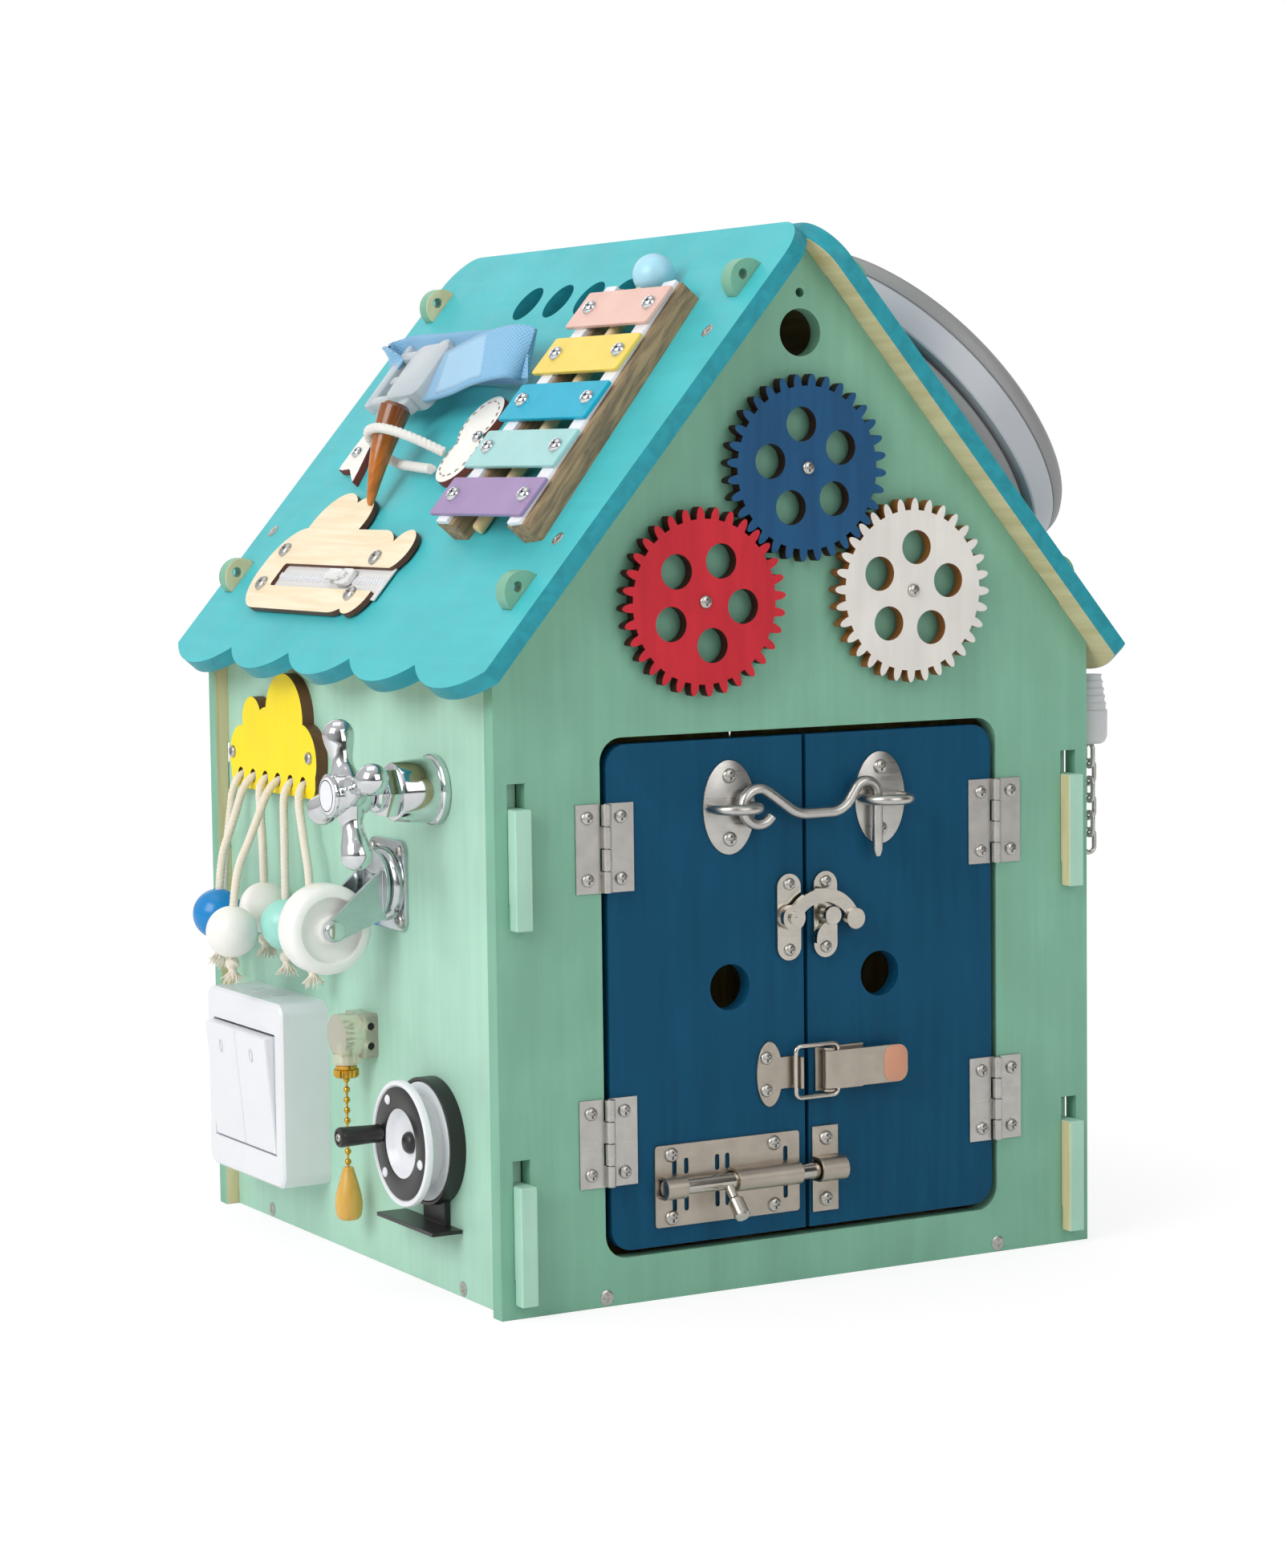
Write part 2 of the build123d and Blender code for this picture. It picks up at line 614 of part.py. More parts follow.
# Draw latch
def draw_latch():
    bat = Ellipse(CATCH_W / 2, CATCH_H / 2)
    reach = LIP_X + DRAW_T - CATCH_X
    neck = Pos(reach / 2, 0) * Rectangle(reach, CATCH_NECK)
    catch = slab(bat + neck, 0, DRAW_T)
    catch += block((reach - DRAW_T, -CATCH_NECK / 2, 0), (reach, CATCH_NECK / 2, LIP_H))
    save("draw_catch", Pos(CATCH_X, DRAW_Z) * catch, FRONT)
    ear_in = LEVER_H / 2 + EAR_GAP
    ear_out = ear_in + EAR_T
    base = block((LEVER_X - 5, -ear_out, 0), (LEVER_X + 20, ear_out, DRAW_T))
    for side in (-1, 1):
        low, high = sorted((side * ear_in, side * ear_out))
        base += block((LEVER_X - 3, low, 0), (LEVER_X + 3, high, DRAW_OUT))
        cheek = Pos(LEVER_X, (low + high) / 2, DRAW_OUT) * Rot(90, 0, 0)
        base += cheek * Cylinder(3.0, EAR_T)
    base += Pos(LEVER_X, 0, DRAW_OUT) * Rot(90, 0, 0) * Cylinder(DRAW_PIN_R, 2 * ear_out)
    save("draw_base", Pos(0, DRAW_Z) * base, FRONT)
    bail_x = BAIL_X[1] - LEVER_X
    blade_end = LEVER_END - LEVER_X
    side_view = Circle(LEVER_HUB) + Pos(bail_x, 0) * Circle(LEVER_HUB)
    side_view += Pos(bail_x / 2, 0) * Rectangle(bail_x, 2 * LEVER_HUB)
    side_view += Pos(blade_end / 2, LEVER_HUB - LEVER_T / 2) * Rectangle(blade_end, LEVER_T)
    side_view -= Circle(DRAW_PIN_R + PIN_FIT)
    side_view -= Pos(bail_x, 0) * Circle(BAIL_R + PIN_FIT)
    lever = Rot(90, 0, 0) * slab(side_view, -LEVER_H / 2, LEVER_H / 2)
    corner = Pos(blade_end, 0) * Rectangle(2 * LEVER_H, 2 * LEVER_H)
    round_end = Pos(blade_end - 4 - LEVER_H, 0) * RectangleRounded(2 * LEVER_H + 8, LEVER_H, 5)
    lever -= slab(corner - round_end, -LEVER_H, LEVER_H)
    save("draw_lever", Pos(LEVER_X, DRAW_Z, DRAW_OUT) * lever, FRONT)
    wide = BAIL_X[1] - BAIL_X[0]
    ring = RectangleRounded(wide, BAIL_H, BAIL_ROUND).wire()
    bail = sweep(Plane(ring @ 0, z_dir=ring % 0) * Circle(BAIL_R), ring)
    save("draw_bail", Pos(BAIL_X[0] + wide / 2, DRAW_Z, DRAW_OUT) * bail, FRONT)


# Barrel bolt
def half_tunnel(low, high, inner, shell):
    outer = inner + shell
    section = Circle(outer) + Pos(0, -BOLT_OUT / 2) * Rectangle(2 * outer, BOLT_OUT)
    section -= Circle(inner) + Pos(0, -BOLT_OUT) * Rectangle(2 * inner, 2 * BOLT_OUT)
    floor = Pos(0, -BOLT_OUT / 2) * Rectangle(4 * outer, BOLT_OUT)
    section = section & (floor + Pos(0, outer) * Rectangle(4 * outer, 2 * outer))
    return Pos(low, BOLT_Z, BOLT_OUT) * ACROSS * extrude(section, high - low)


def barrel_bolt():
    x0, x1, z0, z1 = BOLT_PLATE
    inner = BOLT_R + BOLT_FIT
    plate = Pos((x0 + x1) / 2, (z0 + z1) / 2) * RectangleRounded(x1 - x0, z1 - z0, 1.5)
    for x in BOLT_SLOT_X:
        for side in (-1, 1):
            plate -= oblong(2.2, 7.0, (x, BOLT_Z + side * 8.0))
    housing = slab(plate, 0, BOLT_T)
    housing += half_tunnel(x0 + 1.5, BOLT_WINDOW[0], inner, BOLT_SHELL)
    housing += half_tunnel(BOLT_WINDOW[1], x1 - 3.0, inner, BOLT_SHELL)
    save("bolt_housing", housing, FRONT)
    k0, k1, kz0, kz1 = KEEPER
    strap = Pos((k0 + k1) / 2, (kz0 + kz1) / 2) * Rectangle(k1 - k0, kz1 - kz0)
    keeper = slab(strap, 0, BOLT_T) + half_tunnel(k0, k1, BOLT_R + KEEPER_FIT, BOLT_SHELL)
    save("bolt_keeper", keeper, FRONT)
    spine = Pos(x0 + 2.0, BOLT_Z, BOLT_OUT) * Rot(0, 90, 0)
    rod = spine * Cylinder(BOLT_R, BOLT_TIP - x0 - 2.0, align=(Align.CENTER, Align.CENTER, Align.MIN))
    peg = Cylinder(BOLT_KNOB_R * 0.6, BOLT_KNOB_L * 0.55, align=(Align.CENTER, Align.CENTER, Align.MIN))
    grip = slab(RegularPolygon(BOLT_KNOB_R, 8), BOLT_KNOB_L * 0.5, BOLT_KNOB_L)
    knob = Pos(BOLT_KNOB_X, BOLT_Z, BOLT_OUT) * Rot(45, 0, 0) * (peg + grip)
    save("bolt_rod", rod + knob, FRONT)


# Cloud, cords and beads
def hanging_cord(index):
    exit_y = CORD_FIRST_Y - CORD_PITCH * index
    out, y, z = BEAD_AT[index]
    low = z - BEAD_R - 2 * KNOT_R - CORD_TAIL
    high = z + BEAD_R + 10
    middle = (CORD_Z + high) / 2
    share = 0.45
    bends = [(-exit_y, CORD_Z, CLOUD_T), (-exit_y, CORD_Z, 2 * CLOUD_T + 3.5),
             (-exit_y + (exit_y - y) * share, middle, 2 * CLOUD_T + 3.5 + (out - 9.5) * share),
             (-y, high, out), (-y, low, out)]
    radii = [3.6, 14.0, 12.0]
    cord = tube(FilletPolyline(*bends, radius=radii), CORD_R)
    seat = (BEAD_R ** 2 - BEAD_BORE ** 2) ** 0.5 + (KNOT_R ** 2 - BEAD_BORE ** 2) ** 0.5 + 0.05
    knot = Pos(-y, z - seat, out) * Sphere(KNOT_R)
    return cord + knot, radii


def bead(index):
    out, y, z = BEAD_AT[index]
    bore = Rot(90, 0, 0) * Cylinder(BEAD_BORE, 2 * BEAD_R)
    return Pos(-y, z, out) * (Sphere(BEAD_R) - bore)


def cloud():
    y0, y1, z0, z1 = CLOUD_BASE
    outline = Pos(-(y0 + y1) / 2, (z0 + z1) / 2) * RectangleRounded(y1 - y0, z1 - z0, 6)
    for y, z, radius in CLOUD_LOBES:
        outline += Pos(-y, z) * Circle(radius)
    holed = outline
    for index in range(len(BEAD_AT)):
        holed -= Pos(-(CORD_FIRST_Y - CORD_PITCH * index), CORD_Z) * Circle(CORD_HOLE_D / 2)
    save("cloud_plate", [slab(outline, 0, CLOUD_T), slab(holed, CLOUD_T, 2 * CLOUD_T)], LEFT_BACK)
    cords = [hanging_cord(index) for index in range(len(BEAD_AT))]
    save("bead_cords", [one[0] for one in cords], LEFT_BACK)
    save("cord_beads", [bead(index) for index in range(len(BEAD_AT))], LEFT_BACK)
    print("bead cord bend radii", cords[0][1])


# Tap
def tap():
    low, high = TAP_BODY_OUT
    r0, r1 = TAP_BODY_R
    body = lathe([(0, 0), (TAP_FLANGE_R, 0), (TAP_FLANGE_R, low - 1), (r0, low), (r1, high), (0, high)])
    body += slab(RegularPolygon(TAP_NUT_R, 6), high, TAP_NUT_OUT)
    body += disc(TAP_STEM_R, high, TAP_ARM_OUT)
    spot = Pos(-TAP_Y, TAP_Z)
    save("tap_body", spot * body, LEFT_FRONT)
    h0, h1 = TAP_HUB_OUT
    hub = lathe([(0, h0), (TAP_HUB_R - 2, h0), (TAP_HUB_R, h0 + 3), (TAP_HUB_R, h1 - 1.5),
                 (TAP_HUB_R - 1.5, h1), (0, h1)])
    joint = (TAP_BALL_AT - TAP_BALL_R * cos(radians(30)), TAP_BALL_R * sin(radians(30)))
    profile = Line((0, 0), (0, 5.8)) + Line((0, 5.8), (6.5, 5.8))
    profile += ThreePointArc((6.5, 5.8), (14.0, 4.2), joint)
    profile += ThreePointArc(joint, (TAP_BALL_AT, TAP_BALL_R), (TAP_BALL_AT + TAP_BALL_R, 0))
    profile += Line((TAP_BALL_AT + TAP_BALL_R, 0), (0, 0))
    arm = revolve(make_face(profile), Axis.X)
    for index in range(4):
        hub += Pos(0, 0, TAP_ARM_OUT) * Rot(0, 0, TAP_ARM_TURN + 90 * index) * arm
    hub -= disc(TAP_STEM_R + 2 * PIN_FIT, h0, TAP_ARM_OUT + 0.3)
    save("tap_handle", spot * hub, LEFT_FRONT)


# Caster
def caster():
    width, height, thick = CASTER_PLATE
    spot = Pos(-CASTER_Y, CASTER_Z)
    plate = slab(RectangleRounded(width, height, 5), 0, thick)
    plate += lathe([(0, thick), (RACE_R, thick), (RACE_R, RACE_OUT - 2), (RACE_R - 2, RACE_OUT),
                    (0, RACE_OUT)])
    king_top = FORK_OUT + FORK_T + 0.2
    plate += disc(KING_R, 0, king_top) + disc(5.0, king_top, king_top + 1.6)
    save("caster_plate", spot * plate, LEFT_FRONT)
    cheek_in = WHEEL_W / 2 + WHEEL_GAP
    crown = disc(RACE_R - 1, FORK_OUT, FORK_OUT + FORK_T)
    ends = (Pos(-AXLE_DROP, AXLE_OUT) * Circle(5.0)).edges()
    ends += (Pos(-3, FORK_OUT + FORK_T / 2) * Rectangle(22, FORK_T)).edges()
    view = make_hull(ends)
    for side in (-1, 1):
        middle = side * (cheek_in + FORK_T / 2)
        cheek = slab(view, middle - FORK_T / 2, middle + FORK_T / 2)
        crown += ACROSS * cheek
        bolt = Pos(side * (cheek_in + FORK_T), -AXLE_DROP, AXLE_OUT) * Rot(0, side * 90, 0)
        crown += bolt * disc(4.5, 0, 2.5)
    crown += Pos(0, -AXLE_DROP, AXLE_OUT) * Rot(0, 90, 0) * Cylinder(AXLE_R, 2 * cheek_in)
    crown -= disc(KING_R + PIN_FIT, 0, king_top)
    save("caster_fork", spot * crown, LEFT_FRONT)
    half = WHEEL_W / 2
    rim = WHEEL_R - 5.5
    wheel = lathe([(AXLE_R + PIN_FIT, -half), (7, -half), (8, -half + 3.5), (rim - 1, -half + 3.5),
                   (rim, -half), (WHEEL_R - 3, -half), (WHEEL_R, -half + 3), (WHEEL_R, half - 3),
                   (WHEEL_R - 3, half), (rim, half), (rim - 1, half - 3.5), (8, half - 3.5), (7, half),
                   (AXLE_R + PIN_FIT, half)])
    save("caster_wheel", spot * Pos(0, -AXLE_DROP, AXLE_OUT) * Rot(0, 90, 0) * wheel, LEFT_FRONT)


# Wall switch
def wall_switch():
    spot = Pos(-SWITCH_Y, SWITCH_Z)
    box = slab(RectangleRounded(SWITCH_W, SWITCH_W, 6), 0, SWITCH_OUT)
    box = chamfer(box.faces().sort_by(Axis.Z)[-1].edges(), 1.2)
    well = Rectangle(2 * ROCKER_W + ROCKER_EASE, ROCKER_H + 2 * ROCKER_EASE)
    box -= slab(well, WELL_FLOOR, SWITCH_OUT)
    pivot = SWITCH_OUT + ROCKER_RISE / 2 - ROCKER_T
    box += block((-ROCKER_W, -1, WELL_FLOOR), (ROCKER_W, 1, pivot - 0.2))
    save("switch_box", spot * box, LEFT_BACK)
    tilt = degrees(atan2(ROCKER_RISE, ROCKER_H))
    for side, name in ((-1, "rocker_back"), (1, "rocker_front")):
        width = ROCKER_W - 0.3
        key = slab(Rectangle(width, ROCKER_H), 0, ROCKER_T)
        key = chamfer(key.faces().sort_by(Axis.Z)[-1].edges(), 0.6)
        save(name, spot * Pos(side * ROCKER_W / 2, 0, pivot) * Rot(tilt, 0, 0) * key, LEFT_BACK)


# Pull switch with ball chain
def pull_switch():
    spot = Pos(-pull_y, PULL_Z)
    width, height, thick = PULL_BLOCK
    body = slab(RectangleRounded(width, height, 2), 0, thick) + disc(PULL_R, thick, PULL_OUT)
    for side in (-1, 1):
        hole = Pos(width / 2, side * 4.5, thick / 2) * Rot(0, 90, 0)
        body -= hole * Cylinder(1.8, 12)
    drop = Pos(-pull_y, 0, CHAIN_OUT) * Rot(-90, 0, 0)
    neck = drop * disc(NECK_R, NECK_Z[0], NECK_Z[1])
    stem = drop * disc(CHAIN_BORE, NECK_Z[0], NECK_Z[1] + 4)
    save("pull_switch_body", spot * body + neck - stem, LEFT)
    nut = lathe([(CHAIN_BORE, NUT_Z[0]), (NUT_R - 1, NUT_Z[0]), (NUT_R, NUT_Z[0] + 1), (NUT_R, NUT_Z[1]),
                 (CHAIN_BORE, NUT_Z[1])])
    save("pull_switch_nut", drop * nut, LEFT)
    chain = disc(0.6, CHAIN_LOW - 1, CHAIN_LOW + BALLS * BALL_PITCH)
    for index in range(BALLS):
        chain += Pos(0, 0, CHAIN_LOW + (index + 0.5) * BALL_PITCH) * Sphere(BALL_R)
    top = CHAIN_LOW
    wide = KNOB_LOW + (top - KNOB_LOW) * 0.35
    side = Line((0, KNOB_LOW), (KNOB_R * 0.7, KNOB_LOW))
    side += ThreePointArc((KNOB_R * 0.7, KNOB_LOW), (KNOB_R, wide), (KNOB_R * 0.72, (wide + top) / 2))
    side += Line((KNOB_R * 0.72, (wide + top) / 2), (2.4, top)) + Line((2.4, top), (0, top))
    side += Line((0, top), (0, KNOB_LOW))
    knob = revolve(make_face(Plane.XZ * side), Axis.Z)
    save("pull_chain", [drop * (chain - knob), drop * knob], LEFT)


# Fly reel
def fly_reel():
    spot = Pos(-REEL_Y, REEL_Z)
    cup = lathe([(0, 0), (REEL_R, 0), (REEL_R, REEL_RIM), (REEL_R - REEL_WALL, REEL_RIM),
                 (REEL_R - REEL_WALL, 3), (SPINDLE_R, 3), (SPINDLE_R, SPINDLE_OUT), (0, SPINDLE_OUT)])
    y0, y1, z0, z1, off0, off1 = FOOT
    neck_y = REEL_Y - 1.5
    near, far = FOOT_NECK_OUT
    neck_top = REEL_Z - REEL_R + 4
    neck = block((-neck_y - FOOT_NECK_W / 2, z1, near), (-neck_y + FOOT_NECK_W / 2, neck_top, far))
    foot = block((-y1, z0, off0), (-y0, z1, off1))
    cavity = Pos(-REEL_Y, REEL_Z) * disc(REEL_R - REEL_WALL, 3, SPOOL_OUT)
    save("reel_frame", spot * cup + (neck - cavity) + foot, LEFT_FRONT)
    face = SPOOL_OUT
    bore = SPINDLE_R + PIN_FIT
    inner = REEL_R - REEL_WALL - 0.5
    spool = lathe([(bore, SPOOL_IN), (inner, SPOOL_IN), (inner, SPOOL_IN + 2), (DRUM_R, SPOOL_IN + 2),
                   (DRUM_R, face - FLANGE_T), (SPOOL_R, face - FLANGE_T), (SPOOL_R, face - 1),
                   (SPOOL_R - 1, face), (SPOOL_R - 3.5, face), (SPOOL_R - 4, face - 0.8),
                   (DISH_R + 1, face - 0.8), (DISH_R - 2, face - 4), (bore, face - 5.5)])
    turn = radians(CRANK_TURN)
    pin_at = (-CRANK_R * cos(turn), CRANK_R * sin(turn))
    pin = disc(1.6, face - 2, CRANK_OUT[1] - 0.4, pin_at)
    save("reel_spool", spot * (spool + pin), LEFT_FRONT)
    low, high = CRANK_OUT
    grip = lathe([(1.65, low), (3.4, low), (CRANK_KNOB_R, high - 6), (CRANK_KNOB_R, high - 1.0),
                  (CRANK_KNOB_R - 1.0, high), (1.65, high)])
    save("reel_knob", spot * Pos(*pin_at) * grip, LEFT_FRONT)


# Xylophone and mallet
def key_end(distance):
    share = (distance - RAIL_D[0]) / (RAIL_D[1] - RAIL_D[0])
    return -(RAIL_FRONT_Y[0] + share * (RAIL_FRONT_Y[1] - RAIL_FRONT_Y[0])) + RAIL_W / 2


def xylophone():
    d0, d1 = RAIL_D
    lean = atan2(RAIL_FRONT_Y[0] - RAIL_FRONT_Y[1], d1 - d0)
    rails = []
    strips = []
    slant = hypot(d1 - d0, RAIL_FRONT_Y[0] - RAIL_FRONT_Y[1])
    front = Pos(-(RAIL_FRONT_Y[0] + RAIL_FRONT_Y[1]) / 2, -(d0 + d1) / 2) * Rot(0, 0, degrees(lean))
    back = Pos(-RAIL_BACK_Y, -(d0 + d1) / 2)
    for place, length in ((front, slant), (back, d1 - d0)):
        rails.append(place * slab(Rectangle(RAIL_W, length), 0, RAIL_H))
        strips.append(place * slab(Rectangle(STRIP_W, length), RAIL_H, RAIL_H + STRIP_T))
    save("xylophone_rails", rails + strips, SLOPE_L_FRONT)
    keys = []
    low = RAIL_H + STRIP_T
    first = d0 + KEY_ENDS[0]
    pitch = (d1 - KEY_ENDS[1] - first) / (KEYS - 1)
    for index in range(KEYS):
        d = first + pitch * index
        u0 = -KEY_BACK_Y
        u1 = key_end(d)
        bar = Pos((u0 + u1) / 2, -d) * RectangleRounded(u1 - u0, pitch - KEY_GAP, 1.5)
        keys.append(slab(bar, low, low + KEY_T))
    save("xylophone_keys", keys, SLOPE_L_FRONT)
    head = Vector(-MALLET_HEAD[0], -MALLET_HEAD[1], MALLET_R)
    end = Vector(-MALLET_END[0], -MALLET_END[1], STICK_R + 0.2)
    along = end - head
    stick = Plane(head, z_dir=along).location * disc(STICK_R, 0, along.length)
    save("mallet", Pos(*head) * Sphere(MALLET_R) + stick, SLOPE_L_FRONT)


# Belt with buckle
def belt():
    place = Pos(-BELT_AT[0], -BELT_AT[1]) * Rot(0, 0, BELT_TURN)
    u0, u1 = BELT_RUN
    half = BELT_T / 2
    grip_u = u0 + BUCKLE_GRIP
    back_out, front_out = BELT_ENDS
    bends = [(grip_u, back_out), (u0, back_out), (u0, half), (u1, half), (u1, BELT_RISE),
             (grip_u + BUCKLE[0], front_out)]
    line = FilletPolyline(*bends, radius=[5.5, 5.5, 9.5, 9.5])
    band = Pos(0, BELT_W / 2, 0) * Rot(90, 0, 0) * extrude(trace(line, BELT_T), BELT_W)
    long, wide, high = BUCKLE
    case = Pos(grip_u + long / 2, 0, BUCKLE_OUT) * Rot(0, -3, 0) * Box(long, wide, high)
    case = fillet(case.edges(), BUCKLE_R)
    split = Pos(grip_u + long * 0.62, 0, BUCKLE_OUT) * Box(0.4, 2 * wide, 3 * high)
    save("belt_strap", place * (band - case), SLOPE_L_FRONT)
    save("belt_buckle", place * (case - split), SLOPE_L_FRONT)


# Horn toggle with rope and two patches
def toggle():
    tail = [(-y, -d) for y, d in FISHTAIL]
    fish = Polygon(*tail, align=None)
    fish = fillet(fish.vertices(), 2.0)
    bone = Sketch() + [Pos(-y, -d) * Circle(radius) for y, d, radius in STITCHED]
    save("toggle_patches", [slab(fish, 0, PATCH_T), slab(bone, 0, PATCH_T)], SLOPE_L_FRONT)
    top = Vector(-HORN_TOP[0], -HORN_TOP[1], HORN_TOP[2])
    tip = Vector(-HORN_TIP[0], -HORN_TIP[1], HORN_TIP[2])
    along = tip - top
    r0, r1 = HORN_R
    horn = lathe([(0, -1.2), (r0 - 1.2, -1.2), (r0, 0), (r1, along.length), (r1 / 2, along.length + 1),
                  (0, along.length + 1)])
    horn = Plane(top, z_dir=along, x_dir=(1, 0, 0)).location * horn
    save("toggle_horn", horn, SLOPE_L_FRONT)
    patch_u = -STITCHED[1][0] - STITCHED[1][2] - 0.5
    loop_v = -HORN_TOP[1] - 18
    over = HORN_TOP[2] + 3.0
    bends = [(patch_u + 2, loop_v + 5, PATCH_T + ROPE_R), (patch_u - 16, loop_v + 3, over - 1),
             (-HORN_TOP[0] - 11.5, loop_v + 1, over), (-HORN_TOP[0] - 12.5, loop_v - 1, ROPE_R + 4),
             (patch_u - 16, loop_v - 3, ROPE_R + 3), (patch_u + 2, loop_v - 5, PATCH_T + ROPE_R)]
    radii = [9.0, 8.0, 7.0, 9.0]
    loop = tube(FilletPolyline(*bends, radius=radii), ROPE_R)
    save("toggle_rope", loop, SLOPE_L_FRONT)
    print("toggle rope bend radii", radii)


# Zip behind its wooden plate
def zip_panel():
    y0, y1 = ZIP_Y
    tape = slab(Pos(-(y0 + y1) / 2, -ZIP_D) * Rectangle(y1 - y0, TAPE_W), 0, TAPE_T)
    w0, w1, gap = ZIP_WINDOW
    coil = Pos(-(y0 + w1) / 2, -ZIP_D) * Rectangle(w1 - y0, COIL_W)
    save("zip_tape", tape + slab(coil, TAPE_T, TAPE_T + COIL_T), SLOPE_L_BACK)
    p0, p1 = ZIP_PLATE_Y
    body = Pos(-(p0 + p1) / 2, ZIP_PLATE_UP - ZIP_D)
    plate = body * RectangleRounded(p1 - p0, 2 * ZIP_PLATE_HALF, ZIP_PLATE_R)
    for y, d, radius in ZIP_LOBES:
        plate += Pos(-y, -ZIP_D - d) * Circle(radius)
    plate -= Pos(-(w0 + w1) / 2, -ZIP_D) * RectangleRounded(w1 - w0, gap, 2)
    save("zip_plate", slab(plate, TAPE_T, TAPE_T + ZIP_PLATE_T), SLOPE_L_BACK)
    long, wide, high = SLIDER
    low = TAPE_T + COIL_T
    car = block((-long / 2, -wide / 2, low), (long / 2, wide / 2, low + high))
    car += block((-long / 2 - 10, -3, low + high - 1.2), (-long / 2, 3, low + high))
    save("zip_slider", Pos(-SLIDER_Y, -ZIP_D) * car, SLOPE_L_BACK)


# Press lamp
def lamp():
    spot = Pos(LAMP_Y, -LAMP_D)
    low = LAMP_BASE_H + LAMP_GAP
    base = lathe([(0, 0), (LAMP_BASE_R, 0), (LAMP_BASE_R, LAMP_BASE_H), (LAMP_POST_R, LAMP_BASE_H),
                  (LAMP_POST_R, LAMP_BAND - LAMP_GAP), (0, LAMP_BAND - LAMP_GAP)])
    save("lamp_base", spot * base, SLOPE_R_FRONT)
    sleeve = LAMP_POST_R + LAMP_FIT
    rim = LAMP_R - 4
    cap = lathe([(sleeve, low), (LAMP_R, low), (LAMP_R, LAMP_SHOULDER), (rim, LAMP_SHOULDER + 3),
                 (rim * 0.6, LAMP_TOP - 1), (0, LAMP_TOP), (0, LAMP_BAND), (sleeve, LAMP_BAND)])
    save("lamp_cap", spot * cap, SLOPE_R_FRONT)


# Chain pull on the right wall
def chain_pull():
    spot = Pos(PULLER_Y, 0, PULLER_OUT) * Rot(-90, 0, 0)
    z0, z1, z2 = PULLER_Z
    wide, narrow = PULLER_R
    body = lathe([(0, z0), (wide - 2, z0), (wide, z0 + 3), (wide, z1), (narrow, z2), (0, z2)])
    peg = disc(PEG_R, 0, PULLER_OUT, (PULLER_Y, (z1 + z2) / 2))
    pieces = [spot * body + peg]
    path = SlotOverall(LINK_L - 2 * LINK_R, LINK_W - 2 * LINK_R).wire()
    link = sweep(Plane(path @ 0, z_dir=path % 0) * Circle(LINK_R), path)
    pitch = LINK_L - 4 * LINK_R - 0.6
    for index in range(LINKS):
        turned = Rot(0, 90 * (index % 2), 0) * Rot(0, 0, 90)
        z = z0 - LINK_L / 2 + LINK_R - index * pitch
        pieces.append(Pos(PULLER_Y, z, PULLER_OUT) * turned * link)
    pieces[0] = pieces[0] - pieces[1]
    save("chain_pull", pieces, RIGHT_FRONT)


screws = carcass()
doors()
screws += gears()
save("house_screws", screws)
gate_latch()
swing_latch()
draw_latch()
barrel_bolt()
cloud()
tap()
caster()
wall_switch()
pull_switch()
fly_reel()
xylophone()
belt()
toggle()
zip_panel()
lamp()
chain_pull()

os.makedirs("parts", exist_ok=True)
for name, shape in nodes.items():
    export_step(shape, f"parts/{name}.step")
print(len(nodes), "pieces")
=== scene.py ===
import logging
import math
from dataclasses import dataclass, field
from enum import Enum

import bmesh
import bpy
import numpy as np
from mathutils import Matrix


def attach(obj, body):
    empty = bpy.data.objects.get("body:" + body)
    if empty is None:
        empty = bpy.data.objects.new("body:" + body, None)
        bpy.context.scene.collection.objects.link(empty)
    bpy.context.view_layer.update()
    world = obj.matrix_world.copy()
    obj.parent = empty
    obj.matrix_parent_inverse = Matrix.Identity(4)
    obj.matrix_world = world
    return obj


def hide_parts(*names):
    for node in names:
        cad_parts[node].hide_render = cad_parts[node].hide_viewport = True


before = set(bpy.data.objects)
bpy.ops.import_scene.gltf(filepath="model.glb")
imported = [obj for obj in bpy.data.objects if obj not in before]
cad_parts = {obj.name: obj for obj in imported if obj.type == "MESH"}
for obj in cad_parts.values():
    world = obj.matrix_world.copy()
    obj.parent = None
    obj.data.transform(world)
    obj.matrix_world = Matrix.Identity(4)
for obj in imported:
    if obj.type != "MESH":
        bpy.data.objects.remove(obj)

LOG = logging.getLogger("busy_house")
MM = 0.001
Array = np.ndarray
Object = bpy.types.Object
Material = bpy.types.Material
Colour = tuple[float, float, float]
Point = tuple[float, float, float]

SLOPE = math.radians(49.64)
SIN, COS = math.sin(SLOPE), math.cos(SLOPE)
PLY = 8.0
WALL_HIGH, HALF_WIDE, HALF_DEEP, SIDE_OUT = 275.3, 152.0, 150.0, 145.5
ROOF_LIFT = WALL_HIGH + HALF_WIDE * math.tan(SLOPE) + COS * PLY
SAGE, MINT, TEAL, TEAL_EDGE = "7EB299", "A9D3BE", "47B7BD", "2A98A6"
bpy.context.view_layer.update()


def srgb(code: str) -> Colour:
    """Turns a hex colour into linear red, green and blue.

    Args:
        code: Six hex digits.

    Returns:
        Linear values from 0 to 1.
    """
    parts = np.array([int(code[i:i + 2], 16) for i in (0, 2, 4)]) / 255.0
    linear = np.where(parts <= 0.04045, parts / 12.92, ((parts + 0.055) / 1.055) ** 2.4)
    return tuple(float(v) for v in linear)


